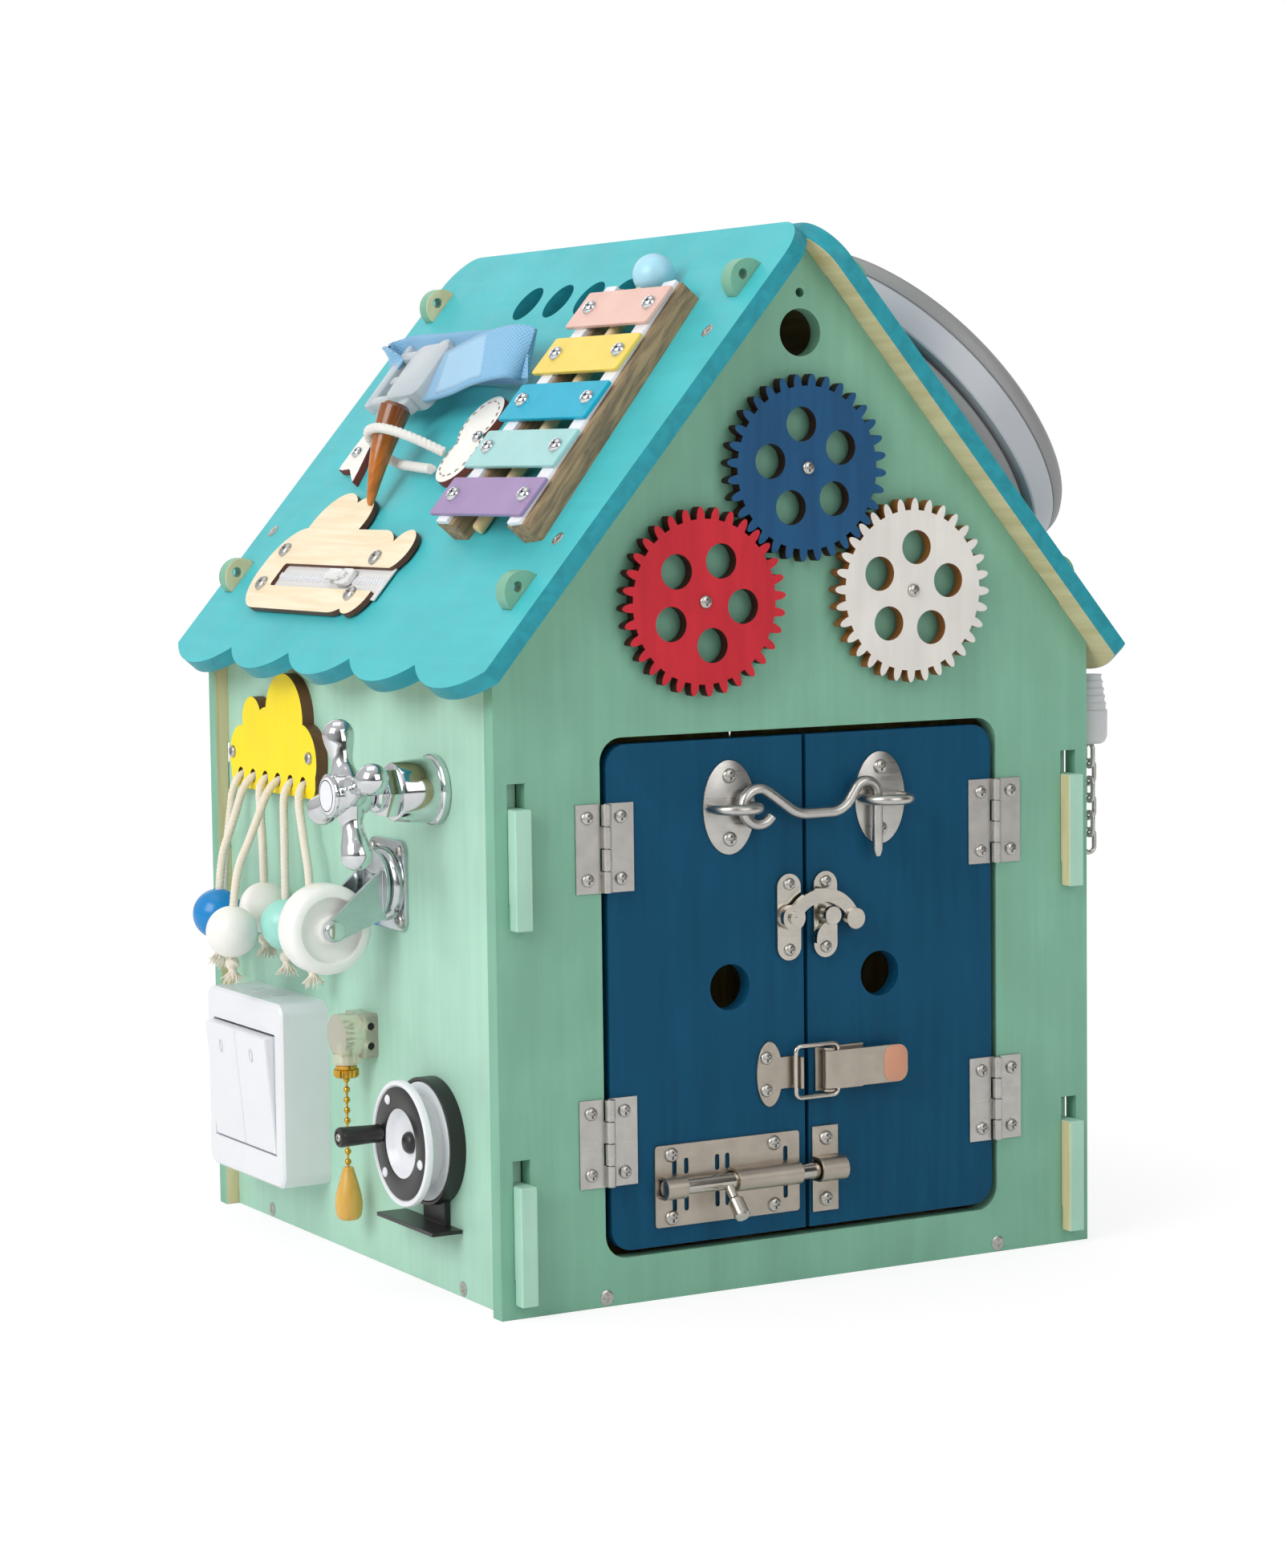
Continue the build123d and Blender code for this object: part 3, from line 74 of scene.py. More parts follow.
@dataclass(frozen=True)
class Face:
    """A flat work face with its right, up and outward directions, in millimetres."""

    origin: Point
    right: Point
    up: Point
    out: Point

    def at(self, u: Array, v: Array, w: Array = 0.0) -> Array:
        """Places local millimetres in the row frame.

        Args:
            u: Distance to the right.
            v: Distance up the face.
            w: Distance out of the face.

        Returns:
            Points in metres.
        """
        u, v, w = np.broadcast_arrays(*(np.asarray(a, float) for a in (u, v, w)))
        right, up, out = (np.array(d) for d in (self.right, self.up, self.out))
        local = u[..., None] * right + v[..., None] * up + w[..., None] * out
        return (np.array(self.origin) + local) * MM

    def axes(self, along: Point) -> tuple[Array, Array, Array]:
        """Gives a right-handed frame whose last axis is a local direction.

        Args:
            along: Direction in face coordinates.

        Returns:
            Two cross axes and the direction, in the row frame.
        """
        right, up, out = (np.array(d) for d in (self.right, self.up, self.out))
        axis = along[0] * right + along[1] * up + along[2] * out
        axis = axis / np.linalg.norm(axis)
        side = right if abs(axis @ right) < 0.9 else up
        first = side - (side @ axis) * axis
        first = first / np.linalg.norm(first)
        return first, np.cross(axis, first), axis


FRONT = Face((0, -HALF_DEEP, 0), (1, 0, 0), (0, 0, 1), (0, -1, 0))
LEFT = Face((-SIDE_OUT, 0, 0), (0, -1, 0), (0, 0, 1), (-1, 0, 0))
RIGHT = Face((SIDE_OUT, 0, 0), (0, 1, 0), (0, 0, 1), (1, 0, 0))
BACK = Face((0, HALF_DEEP, 0), (-1, 0, 0), (0, 0, 1), (0, 1, 0))
ROOF_L = Face((-SIN * PLY, 0, ROOF_LIFT), (0, -1, 0), (COS, 0, SIN), (-SIN, 0, COS))
ROOF_R = Face((SIN * PLY, 0, ROOF_LIFT), (0, 1, 0), (-COS, 0, SIN), (SIN, 0, COS))
OUT = (0.0, 0.0, 1.0)


class Shell:
    """Collects the surfaces of one piece before they become a mesh."""

    def __init__(self) -> None:
        """Starts empty."""
        self.points: list[Array] = []
        self.lay: list[Array] = []
        self.faces: list[list[int]] = []
        self.count = 0

    def grid(self, p: Array, wrap: bool = False, caps: bool = False, loop: bool = False,
             lay: Array | None = None) -> "Shell":
        """Adds a grid of points as quads between neighbouring rows and columns.

        Args:
            p: Points by row and column.
            wrap: Joins the last column to the first.
            caps: Closes the first and last row with one face each.
            loop: Joins the last row to the first.
            lay: Along and across lengths for a weave, by row and column.

        Returns:
            This shell.
        """
        rows, cols = p.shape[:2]
        index = np.arange(rows * cols).reshape(rows, cols) + self.count
        full = np.concatenate([index, index[:, :1]], axis=1) if wrap else index
        full = np.concatenate([full, full[:1]], axis=0) if loop else full
        quads = np.stack([full[:-1, :-1], full[:-1, 1:], full[1:, 1:], full[1:, :-1]], axis=-1)
        self.faces += quads.reshape(-1, 4).tolist()
        if caps:
            self.faces += [index[0][::-1].tolist(), index[-1].tolist()]
        self.points.append(p.reshape(-1, 3))
        self.lay.append(np.zeros((rows * cols, 3)) if lay is None else lay.reshape(-1, 3))
        self.count += rows * cols
        return self

    def lathe(self, profile: list[tuple[float, float]], face: Face, at: Point,
              along: Point = OUT, sides: int = 48) -> "Shell":
        """Turns a profile of radius and height round an axis.

        Args:
            profile: Radius and height pairs in millimetres.
            face: Work face of the piece.
            at: Foot of the axis on that face.
            along: Axis direction in face coordinates.
            sides: Points round the axis.

        Returns:
            This shell.
        """
        radius, height = np.array(profile, float).T
        angle = np.linspace(0, 2 * math.pi, sides, endpoint=False)
        first, second, axis = face.axes(along)
        ring = np.cos(angle)[:, None] * first + np.sin(angle)[:, None] * second
        body = radius[:, None, None] * ring + height[:, None, None] * axis
        return self.grid(face.at(*at) + body * MM, wrap=True, caps=profile[0] != profile[-1])

    def prism(self, outline: Array, face: Face, low: float, high: float, ease: float = 0.0) -> "Shell":
        """Raises a closed outline between two heights, with a small rounded rim.

        Args:
            outline: Points to the right and up, anticlockwise, in millimetres.
            face: Work face of the piece.
            low: Lower height.
            high: Upper height.
            ease: Width of the rim's rounding.

        Returns:
            This shell.
        """
        turn = np.roll(outline, -1, axis=0) - np.roll(outline, 1, axis=0)
        inward = np.stack([-turn[:, 1], turn[:, 0]], axis=1)
        inward = inward / np.maximum(np.linalg.norm(inward, axis=1, keepdims=True), 1e-9)
        steps = [(0.0, low), (0.0, high - ease), (0.3 * ease, high - 0.3 * ease), (ease, high)]
        steps = steps if ease else [(0.0, low), (0.0, high)]
        rows = [face.at(*(outline + inward * off).T, lift) for off, lift in steps]
        return self.grid(np.stack(rows), wrap=True, caps=True)

    def tube(self, path: Array, radius: float | Array, sides: int = 16, loop: bool = False,
             lobes: int = 0, pitch: float = 1.0, depth: float = 0.0) -> "Shell":
        """Carries a round or lobed section along a path.

        The section's radius is radius * (1 - depth + depth * |cos(lobes / 2 * (angle - turn))|), with
        turn growing by a full round each pitch, so lobes wind round the path as strands do.

        Args:
            path: Points in metres.
            radius: Radius in millimetres, for all or for each point.
            sides: Points round the section.
            loop: Closes the path on itself.
            lobes: Number of strands, none for a round section.
            pitch: Length of one full round of the strands, in millimetres.
            depth: Share of the radius that the grooves take.

        Returns:
            This shell.
        """
        tangent = np.roll(path, -1, 0) - np.roll(path, 1, 0) if loop else np.gradient(path, axis=0)
        tangent = tangent / np.linalg.norm(tangent, axis=1, keepdims=True)
        flat = np.linalg.svd(path - path.mean(0))[2][2]
        first = flat - (tangent @ flat)[:, None] * tangent
        first = first / np.linalg.norm(first, axis=1, keepdims=True)
        second = np.cross(tangent, first)
        angle = np.linspace(0, 2 * math.pi, sides, endpoint=False)
        step = np.linalg.norm(np.diff(path, axis=0), axis=1)
        run = np.concatenate([[0.0], np.cumsum(step)]) / MM
        wide = np.broadcast_to(np.asarray(radius, float), (len(path),))[:, None] * np.ones(sides)
        if lobes:
            turn = 2 * math.pi * run[:, None] / pitch
            wide = wide * (1 - depth + depth * np.abs(np.cos(lobes / 2 * (angle - turn))))
        ring = np.cos(angle)[None, :, None] * first[:, None] + np.sin(angle)[None, :, None] * second[:, None]
        lay = np.stack([np.repeat(run[:, None], sides, 1), angle + 0 * wide, 0 * wide], axis=-1)
        return self.grid(path[:, None] + wide[..., None] * MM * ring, True, not loop, loop, lay)

    def copies(self, unit: "Shell", offsets: Array) -> "Shell":
        """Repeats another shell at many offsets.

        Args:
            unit: Shell to repeat.
            offsets: Shifts in metres, one row each.

        Returns:
            This shell.
        """
        base = np.concatenate(unit.points)
        points = (base[None] + offsets[:, None]).reshape(-1, 3)
        starts = self.count + np.arange(len(offsets)) * len(base)
        for start in starts.tolist():
            self.faces += [[start + i for i in face] for face in unit.faces]
        self.points.append(points)
        self.lay.append(np.zeros_like(points))
        self.count += len(points)
        return self

    def build(self, name: str, finish: Material, body: str, nodes: tuple[str, ...] = (),
              sharp: float = 35.0, slot: str | None = None, closed: bool = True) -> Object:
        """Makes the mesh object, dresses it and lets it ride on its body.

        Args:
            name: Name of the piece.
            finish: Its material.
            body: Body that it moves with.
            nodes: Solids that it stands for.
            sharp: Edges above this angle stay crisp, in degrees.
            slot: Not used.
            closed: False for an open sheet, whose faces keep their order.

        Returns:
            The object.
        """
        mesh = bpy.data.meshes.new(name)
        mesh.from_pydata(np.concatenate(self.points).tolist(), [], self.faces)
        lay = mesh.attributes.new("lay", "FLOAT_VECTOR", "POINT")
        lay.data.foreach_set("vector", np.concatenate(self.lay).ravel())
        work = bmesh.new()
        work.from_mesh(mesh)
        bmesh.ops.remove_doubles(work, verts=work.verts, dist=2e-6)
        if closed:
            bmesh.ops.recalc_face_normals(work, faces=work.faces)
        work.to_mesh(mesh)
        work.free()
        mesh.shade_smooth()
        mesh.set_sharp_from_angle(angle=math.radians(sharp))
        return place(name, mesh, finish, body, nodes)


def place(name: str, mesh: bpy.types.Mesh, finish: Material, body: str,
          nodes: tuple[str, ...] = ()) -> Object:
    """Links a mesh as a piece of the object.

    Args:
        name: Name of the piece.
        mesh: Its mesh, in the row frame.
        finish: Its material.
        body: Body that it moves with.
        nodes: Solids that it stands for.

    Returns:
        The object.
    """
    piece = bpy.data.objects.new(name, mesh)
    bpy.context.scene.collection.objects.link(piece)
    mesh.materials.clear()
    mesh.materials.append(finish)
    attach(piece, body)
    if nodes:
        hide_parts(*nodes)
    LOG.info("%s: %d faces on %s", name, len(mesh.polygons), body)
    return piece


def softened(node: str, finish: Material, body: str, width: float = 0.4, segments: int = 2,
             merged: bool = True) -> Object:
    """Shows a rigid solid with lightly rounded edges.

    Args:
        node: Name of the solid.
        finish: Its material.
        body: Body that it belongs to.
        width: Rounding of the edges in millimetres.
        segments: Steps of the rounding.
        merged: True where flat faces are joined before the rounding.

    Returns:
        The piece that stands for the solid.
    """
    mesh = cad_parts[node].data.copy()
    work = bmesh.new()
    work.from_mesh(mesh)
    bmesh.ops.remove_doubles(work, verts=work.verts, dist=2e-6)
    if merged:
        bmesh.ops.dissolve_limit(work, angle_limit=math.radians(0.6), verts=work.verts, edges=work.edges)
    work.to_mesh(mesh)
    work.free()
    mesh.shade_smooth()
    mesh.set_sharp_from_angle(angle=math.radians(32))
    piece = place("shown_" + node, mesh, finish, body, (node,))
    rounding = piece.modifiers.new("rounded edges", "BEVEL")
    rounding.width = width * MM
    rounding.segments = segments
    rounding.limit_method = "ANGLE"
    rounding.angle_limit = math.radians(38)
    rounding.harden_normals = True
    return piece


def ellipse(wide: float, high: float, at: tuple[float, float] = (0, 0), count: int = 48) -> Array:
    """Gives the outline of an ellipse.

    Args:
        wide: Half width.
        high: Half height.
        at: Centre.
        count: Number of points.

    Returns:
        Points anticlockwise.
    """
    angle = np.linspace(0, 2 * math.pi, count, endpoint=False)
    return np.stack([at[0] + wide * np.cos(angle), at[1] + high * np.sin(angle)], axis=1)


def rounded(wide: float, high: float, radius: float, at: tuple[float, float] = (0, 0), count: int = 8) -> Array:
    """Gives the outline of a rectangle with round corners.

    Args:
        wide: Full width.
        high: Full height.
        radius: Corner radius.
        at: Centre.
        count: Points on each corner.

    Returns:
        Points anticlockwise.
    """
    quarter = np.linspace(0, math.pi / 2, count)
    angle = (quarter[None] + np.arange(4)[:, None] * math.pi / 2).ravel()
    sign_x = np.repeat([1, -1, -1, 1], count)
    sign_y = np.repeat([1, 1, -1, -1], count)
    x = at[0] + sign_x * (wide / 2 - radius) + radius * np.cos(angle)
    y = at[1] + sign_y * (high / 2 - radius) + radius * np.sin(angle)
    return np.stack([x, y], axis=1)


def arc(centre: tuple[float, float], radius: float, start: float, end: float, count: int = 24) -> Array:
    """Samples a circular arc.

    Args:
        centre: Centre of the circle.
        radius: Its radius.
        start: First angle in degrees.
        end: Last angle in degrees.
        count: Number of points.

    Returns:
        Points on the arc.
    """
    angle = np.radians(np.linspace(start, end, count))
    return np.stack([centre[0] + radius * np.cos(angle), centre[1] + radius * np.sin(angle)], axis=1)


def flowing(stations: Array, count: int) -> Array:
    """Runs a smooth cubic through stations, with slopes from the neighbours of each.

    Args:
        stations: One row for each station.
        count: Number of points.

    Returns:
        Points on the curve.
    """
    slope = np.gradient(stations, axis=0)
    t = np.linspace(0, len(stations) - 1, count)
    i = np.minimum(t.astype(int), len(stations) - 2)
    f = (t - i)[:, None]
    a, b, da, db = stations[i], stations[i + 1], slope[i], slope[i + 1]
    start, leave = 2 * f ** 3 - 3 * f ** 2 + 1, f ** 3 - 2 * f ** 2 + f
    stop, arrive = 3 * f ** 2 - 2 * f ** 3, f ** 3 - f ** 2
    return a * start + da * leave + b * stop + db * arrive


def worked(tree: bpy.types.NodeTree, operation: str, *values: bpy.types.NodeSocket | float) -> bpy.types.NodeSocket:
    """Adds a math node.

    Args:
        tree: Where the node goes.
        operation: What it does.
        values: Its inputs, sockets or plain numbers.

    Returns:
        Its result.
    """
    node = tree.nodes.new("ShaderNodeMath")
    node.operation = operation
    for index, value in enumerate(values):
        if isinstance(value, bpy.types.NodeSocket):
            tree.links.new(value, node.inputs[index])
        else:
            node.inputs[index].default_value = value
    return node.outputs[0]


def sphere_profile(radius: float, bore: float = 0.0, count: int = 17) -> list[tuple[float, float]]:
    """Gives the half section of a ball, cut flat where a bore ends.

    Args:
        radius: Radius of the ball.
        bore: Radius of its bore.
        count: Number of points.

    Returns:
        Radius and height pairs.
    """
    edge = math.asin(min(1.0, (bore + 0.35) / radius)) if bore else 0.0
    angle = np.linspace(edge, math.pi - edge, count)
    skin = [(radius * math.sin(a), -radius * math.cos(a)) for a in angle.tolist()]
    if not bore:
        return [(0.0, -radius)] + skin[1:-1] + [(0.0, radius)]
    depth = radius * math.cos(edge)
    return [(bore, -depth + 0.4)] + skin + [(bore, depth - 0.4)]


def route_points(route: Array) -> Array:
    """Reads the smooth line of a cord's route.

    Args:
        route: Route points in metres.

    Returns:
        Points along the spline.
    """
    data = bpy.data.curves.new("route", "CURVE")
    data.dimensions = "3D"
    spline = data.splines.new("NURBS")
    spline.points.add(len(route) - 1)
    spline.points.foreach_set("co", np.c_[route, np.ones(len(route))].ravel())
    spline.order_u = 3
    spline.use_endpoint_u = True
    spline.resolution_u = 14
    holder = bpy.data.objects.new("route", data)
    mesh = bpy.data.meshes.new_from_object(holder)
    line = np.empty(len(mesh.vertices) * 3)
    mesh.vertices.foreach_get("co", line)
    bpy.data.objects.remove(holder)
    bpy.data.meshes.remove(mesh)
    bpy.data.curves.remove(data)
    line = line.reshape(-1, 3)
    run = np.concatenate([[0.0], np.cumsum(np.linalg.norm(np.diff(line, axis=0), axis=1))])
    even = np.linspace(0, run[-1], max(12, int(run[-1] / 0.0007)))
    return np.stack([np.interp(even, run, line[:, k]) for k in range(3)], axis=1)


class Effect(Enum):
    """Shared surface effects."""

    MOTTLE = "mottle"
    GRAIN = "grain"
    BRUSHED = "brushed"
    WEAVE = "weave"


class Groups:
    """Node groups for effects that several finishes use."""

    def __init__(self) -> None:
        """Builds each group once."""
        self.trees = {Effect.MOTTLE: self._mottle(), Effect.GRAIN: self._grain(),
                      Effect.BRUSHED: self._brushed(), Effect.WEAVE: self._weave()}

    @staticmethod
    def _start(name: str, inputs: dict[str, float], outputs: tuple[str, ...]) -> bpy.types.NodeTree:
        """Opens a group with a vector input, value inputs and value outputs."""
        tree = bpy.data.node_groups.new(name, "ShaderNodeTree")
        tree.interface.new_socket("Vector", in_out="INPUT", socket_type="NodeSocketVector")
        for label, value in inputs.items():
            tree.interface.new_socket(label, in_out="INPUT", socket_type="NodeSocketFloat").default_value = value
        for label in outputs:
            tree.interface.new_socket(label, in_out="OUTPUT", socket_type="NodeSocketFloat")
        tree.nodes.new("NodeGroupInput").name = "in"
        tree.nodes.new("NodeGroupOutput").name = "out"
        return tree

    @staticmethod
    def _range(tree: bpy.types.NodeTree, source: bpy.types.NodeSocket, low: float, high: float,
               to: tuple[float, float] = (0.0, 1.0)) -> bpy.types.NodeSocket:
        """Adds a clamped map of a value from one range to another."""
        node = tree.nodes.new("ShaderNodeMapRange")
        tree.links.new(source, node.inputs["Value"])
        for label, value in zip(("From Min", "From Max", "To Min", "To Max"), (low, high) + to):
            node.inputs[label].default_value = value
        return node.outputs["Result"]

    def _mottle(self) -> bpy.types.NodeTree:
        """Soft cloudy tint, fine roughness and a fine orange-peel height."""
        tree = self._start("cloudy paint", {"Scale": 40.0}, ("Tint", "Rough", "Height"))
        data, end = tree.nodes["in"], tree.nodes["out"]
        spans = (("Tint", 1.0, (0.93, 1.05)), ("Rough", 4.0, (-0.07, 0.07)), ("Height", 22.0, (0, 1)))
        for label, factor, span in spans:
            noise = tree.nodes.new("ShaderNodeTexNoise")
            noise.inputs["Detail"].default_value = 5.0
            tree.links.new(worked(tree, "MULTIPLY", data.outputs["Scale"], factor), noise.inputs["Scale"])
            tree.links.new(data.outputs["Vector"], noise.inputs["Vector"])
            tree.links.new(self._range(tree, noise.outputs["Fac"], 0.3, 0.7, span), end.inputs[label])
        return tree

    def _grain(self) -> bpy.types.NodeTree:
        """Long streaks of wood grain with pores."""
        tree = self._start("wood grain", {"Scale": 60.0}, ("Streak", "Pores"))
        data, end = tree.nodes["in"], tree.nodes["out"]
        stretch = tree.nodes.new("ShaderNodeMapping")
        stretch.vector_type = "TEXTURE"
        for label, start, target in (("Stretch", (1.0, 14.0, 1.0), "Scale"), ("Turn", (0.0, 0.0, 0.0), "Rotation")):
            tree.interface.new_socket(label, in_out="INPUT", socket_type="NodeSocketVector").default_value = start
            tree.links.new(data.outputs[label], stretch.inputs[target])
        tree.links.new(data.outputs["Vector"], stretch.inputs["Vector"])
        for label, factor, low, high in (("Streak", 1.0, 0.35, 0.65), ("Pores", 9.0, 0.5, 0.75)):
            noise = tree.nodes.new("ShaderNodeTexNoise")
            noise.inputs["Detail"].default_value = 6.0
            noise.inputs["Distortion"].default_value = 0.6
            tree.links.new(worked(tree, "MULTIPLY", data.outputs["Scale"], factor), noise.inputs["Scale"])
            tree.links.new(stretch.outputs["Vector"], noise.inputs["Vector"])
            tree.links.new(self._range(tree, noise.outputs["Fac"], low, high), end.inputs[label])
        return tree

    def _brushed(self) -> bpy.types.NodeTree:
        """Fine parallel scratches and soft handling marks on metal."""
        tree = self._start("brushed metal", {"Scale": 900.0}, ("Scratch", "Smudge"))
        data, end = tree.nodes["in"], tree.nodes["out"]
        stretch = tree.nodes.new("ShaderNodeMapping")
        stretch.inputs["Scale"].default_value = (0.05, 1.0, 1.0)
        tree.links.new(data.outputs["Vector"], stretch.inputs["Vector"])
        fine = tree.nodes.new("ShaderNodeTexNoise")
        fine.inputs["Detail"].default_value = 4.0
        tree.links.new(stretch.outputs["Vector"], fine.inputs["Vector"])
        tree.links.new(data.outputs["Scale"], fine.inputs["Scale"])
        broad = tree.nodes.new("ShaderNodeTexNoise")
        broad.inputs["Scale"].default_value = 140.0
        broad.inputs["Detail"].default_value = 4.0
        tree.links.new(data.outputs["Vector"], broad.inputs["Vector"])
        tree.links.new(self._range(tree, fine.outputs["Fac"], 0.3, 0.7), end.inputs["Scratch"])
        tree.links.new(self._range(tree, broad.outputs["Fac"], 0.3, 0.7), end.inputs["Smudge"])
        return tree

    def _weave(self) -> bpy.types.NodeTree:
        """Over and under ribs of a plain weave from the piece's own lengths."""
        tree = self._start("plain weave", {"Pitch": 1.2}, ("Height", "Shade"))
        data, end = tree.nodes["in"], tree.nodes["out"]
        parts = tree.nodes.new("ShaderNodeSeparateXYZ")
        tree.links.new(data.outputs["Vector"], parts.inputs[0])
        waves = []
        for label in ("X", "Y"):
            ratio = worked(tree, "DIVIDE", parts.outputs[label], data.outputs["Pitch"])
            waves.append(worked(tree, "SINE", worked(tree, "MULTIPLY", ratio, 2 * math.pi)))
        cross = worked(tree, "MULTIPLY", *waves)
        tree.links.new(self._range(tree, cross, -1.0, 1.0), end.inputs["Height"])
        tree.links.new(self._range(tree, cross, -1.0, 1.0, (0.82, 1.08)), end.inputs["Shade"])
        return tree


@dataclass
class Workshop:
    """Makes the finishes of the house's pieces."""

    groups: Groups = field(default_factory=Groups)

    def _open(self, name: str) -> tuple[bpy.types.NodeTree, bpy.types.Node, Material]:
        """Starts a material and gives its tree, its surface shader and itself."""
        finish = bpy.data.materials.new(name)
        finish.use_nodes = True
        tree = finish.node_tree
        return tree, tree.nodes["Principled BSDF"], finish

    def _effect(self, tree: bpy.types.NodeTree, effect: Effect, source: str = "Object",
                **values: float | Point) -> bpy.types.Node:
        """Places a shared effect on the piece's own coordinates."""
        node = tree.nodes.new("ShaderNodeGroup")
        node.node_tree = self.groups.trees[effect]
        if source == "lay":
            place_on = tree.nodes.new("ShaderNodeAttribute")
            place_on.attribute_name = "lay"
            tree.links.new(place_on.outputs["Vector"], node.inputs["Vector"])
        else:
            place_on = tree.nodes.new("ShaderNodeTexCoord")
            tree.links.new(place_on.outputs[source], node.inputs["Vector"])
        for label, value in values.items():
            node.inputs[label].default_value = value
        return node

    @staticmethod
    def _mix(tree: bpy.types.NodeTree, factor: bpy.types.NodeSocket | float, a: object, b: object,
             mode: str = "MIX") -> bpy.types.NodeSocket:
        """Mixes two colours, each a socket or a fixed colour."""
        node = tree.nodes.new("ShaderNodeMix")
        node.data_type = "RGBA"
        node.blend_type = mode
        for socket, value in ((node.inputs[0], factor), (node.inputs[6], a), (node.inputs[7], b)):
            if isinstance(value, bpy.types.NodeSocket):
                tree.links.new(value, socket)
            elif isinstance(value, tuple):
                socket.default_value = value + (1.0,)
            else:
                socket.default_value = value
        return node.outputs[2]

    @staticmethod
    def _bump(tree: bpy.types.NodeTree, height: bpy.types.NodeSocket, shader: bpy.types.Node,
              depth: float, strength: float = 0.5) -> None:
        """Feeds a height to the shader's normal, with its depth in millimetres."""
        node = tree.nodes.new("ShaderNodeBump")
        node.inputs["Strength"].default_value = strength
        node.inputs["Distance"].default_value = depth * MM
        tree.links.new(height, node.inputs["Height"])
        tree.links.new(node.outputs["Normal"], shader.inputs["Normal"])

    @staticmethod
    def _scaled(tree: bpy.types.NodeTree, source: bpy.types.NodeSocket, base: float,
                share: float) -> bpy.types.NodeSocket:
        """Gives base + share * value."""
        return worked(tree, "MULTIPLY_ADD", source, share, base)

    @staticmethod
    def _facing(tree: bpy.types.NodeTree, way: Point, limit: float) -> bpy.types.NodeSocket:
        """Marks where the surface looks along a direction of the piece."""
        coordinates = tree.nodes.new("ShaderNodeTexCoord")
        dot = tree.nodes.new("ShaderNodeVectorMath")
        dot.operation = "DOT_PRODUCT"
        dot.inputs[1].default_value = way
        tree.links.new(coordinates.outputs["Normal"], dot.inputs[0])
        return worked(tree, "GREATER_THAN", dot.outputs["Value"], limit)

    @staticmethod
    def _turned(way: Point) -> Point:
        """Gives the opposite direction."""
        return tuple(-v for v in way)

    def painted_ply(self, name: str, paint: str, way: Point, edge: str | None = None, raw: bool = True,
                    gloss: float = 0.42, grain_way: Point = (1.0, 1.0, 14.0), veil: float = 0.93,
                    shine: float = 0.25) -> Material:
        """Makes satin paint over plywood, with a bare back and its own edge colour.

        Args:
            name: Name of the finish.
            paint: Colour of the painted face.
            way: Direction that the painted face looks.
            edge: Colour of the edges, the paint's own where none is given.
            raw: True where the back is bare birch.
            gloss: Roughness of the paint.
            grain_way: How far the grain stretches along each axis.
            veil: Brightness of the paint over late wood, from 0 to 1.
            shine: Strength of the paint's reflection.

        Returns:
            The material.
        """
        tree, shader, finish = self._open(name)
        cloud = self._effect(tree, Effect.MOTTLE, Scale=26.0)
        grain = self._effect(tree, Effect.GRAIN, Scale=170.0, Stretch=grain_way)
        streaked = self._mix(tree, grain.outputs["Streak"], srgb(paint), tuple(veil * c for c in srgb(paint)))
        colour = self._mix(tree, 1.0, streaked, cloud.outputs["Tint"], "MULTIPLY")
        if edge:
            rim = self._mix(tree, grain.outputs["Streak"], srgb(edge), tuple(0.8 * c for c in srgb(edge)))
            colour = self._mix(tree, self._facing(tree, way, 0.45), rim, colour)
        if raw:
            bare = self._mix(tree, grain.outputs["Streak"], srgb("DDD2AA"), srgb("CDBF92"))
            colour = self._mix(tree, self._facing(tree, self._turned(way), 0.7), colour, bare)
        tree.links.new(colour, shader.inputs["Base Color"])
        tree.links.new(self._scaled(tree, cloud.outputs["Rough"], gloss, 1.0), shader.inputs["Roughness"])
        shader.inputs["Specular IOR Level"].default_value = shine
        self._bump(tree, grain.outputs["Pores"], shader, 0.06, 0.35)
        return finish

    def bare_wood(self, name: str, light: str, dark: str, way: Point | None = None, burnt: str | None = None,
                  rough: float = 0.55, scale: float = 80.0, grain_way: Point = (1.0, 14.0, 1.0),
                  turn: float = 0.0) -> Material:
        """Makes bare or lacquered wood with grain, and burnt edges where cut by heat.

        Args:
            name: Name of the finish.
            light: Colour of the early wood.
            dark: Colour of the late wood.
            way: Direction of the face where the edges differ.
            burnt: Colour of the burnt edge.
            rough: Roughness.
            scale: Scale of the grain.
            grain_way: How far the grain stretches along each axis.
            turn: Turn of the grain about the depth axis, in radians.

        Returns:
            The material.
        """
        tree, shader, finish = self._open(name)
        grain = self._effect(tree, Effect.GRAIN, Scale=scale, Stretch=grain_way, Turn=(0.0, turn, 0.0))
        colour = self._mix(tree, grain.outputs["Streak"], srgb(light), srgb(dark))
        if burnt and way:
            flat = self._facing(tree, way, 0.6)
            colour = self._mix(tree, flat, srgb(burnt), colour)
        tree.links.new(colour, shader.inputs["Base Color"])
        tree.links.new(self._scaled(tree, grain.outputs["Pores"], rough, 0.12), shader.inputs["Roughness"])
        self._bump(tree, grain.outputs["Pores"], shader, 0.08, 0.4)
        return finish

    def metal(self, name: str, colour: str, rough: float, scratch: float = 0.12, scale: float = 900.0) -> Material:
        """Makes plated or brushed metal.

        Args:
            name: Name of the finish.
            colour: Reflected colour.
            rough: Base roughness.
            scratch: How far scratches change the roughness.
            scale: Scale of the scratches.

        Returns:
            The material.
        """
        tree, shader, finish = self._open(name)
        brushed = self._effect(tree, Effect.BRUSHED, Scale=scale)
        shade = self._mix(tree, brushed.outputs["Smudge"], srgb(colour), tuple(0.86 * c for c in srgb(colour)))
        tree.links.new(shade, shader.inputs["Base Color"])
        shader.inputs["Metallic"].default_value = 1.0
        tree.links.new(self._scaled(tree, brushed.outputs["Scratch"], rough, scratch), shader.inputs["Roughness"])
        self._bump(tree, brushed.outputs["Scratch"], shader, 0.01, 0.25)
        return finish

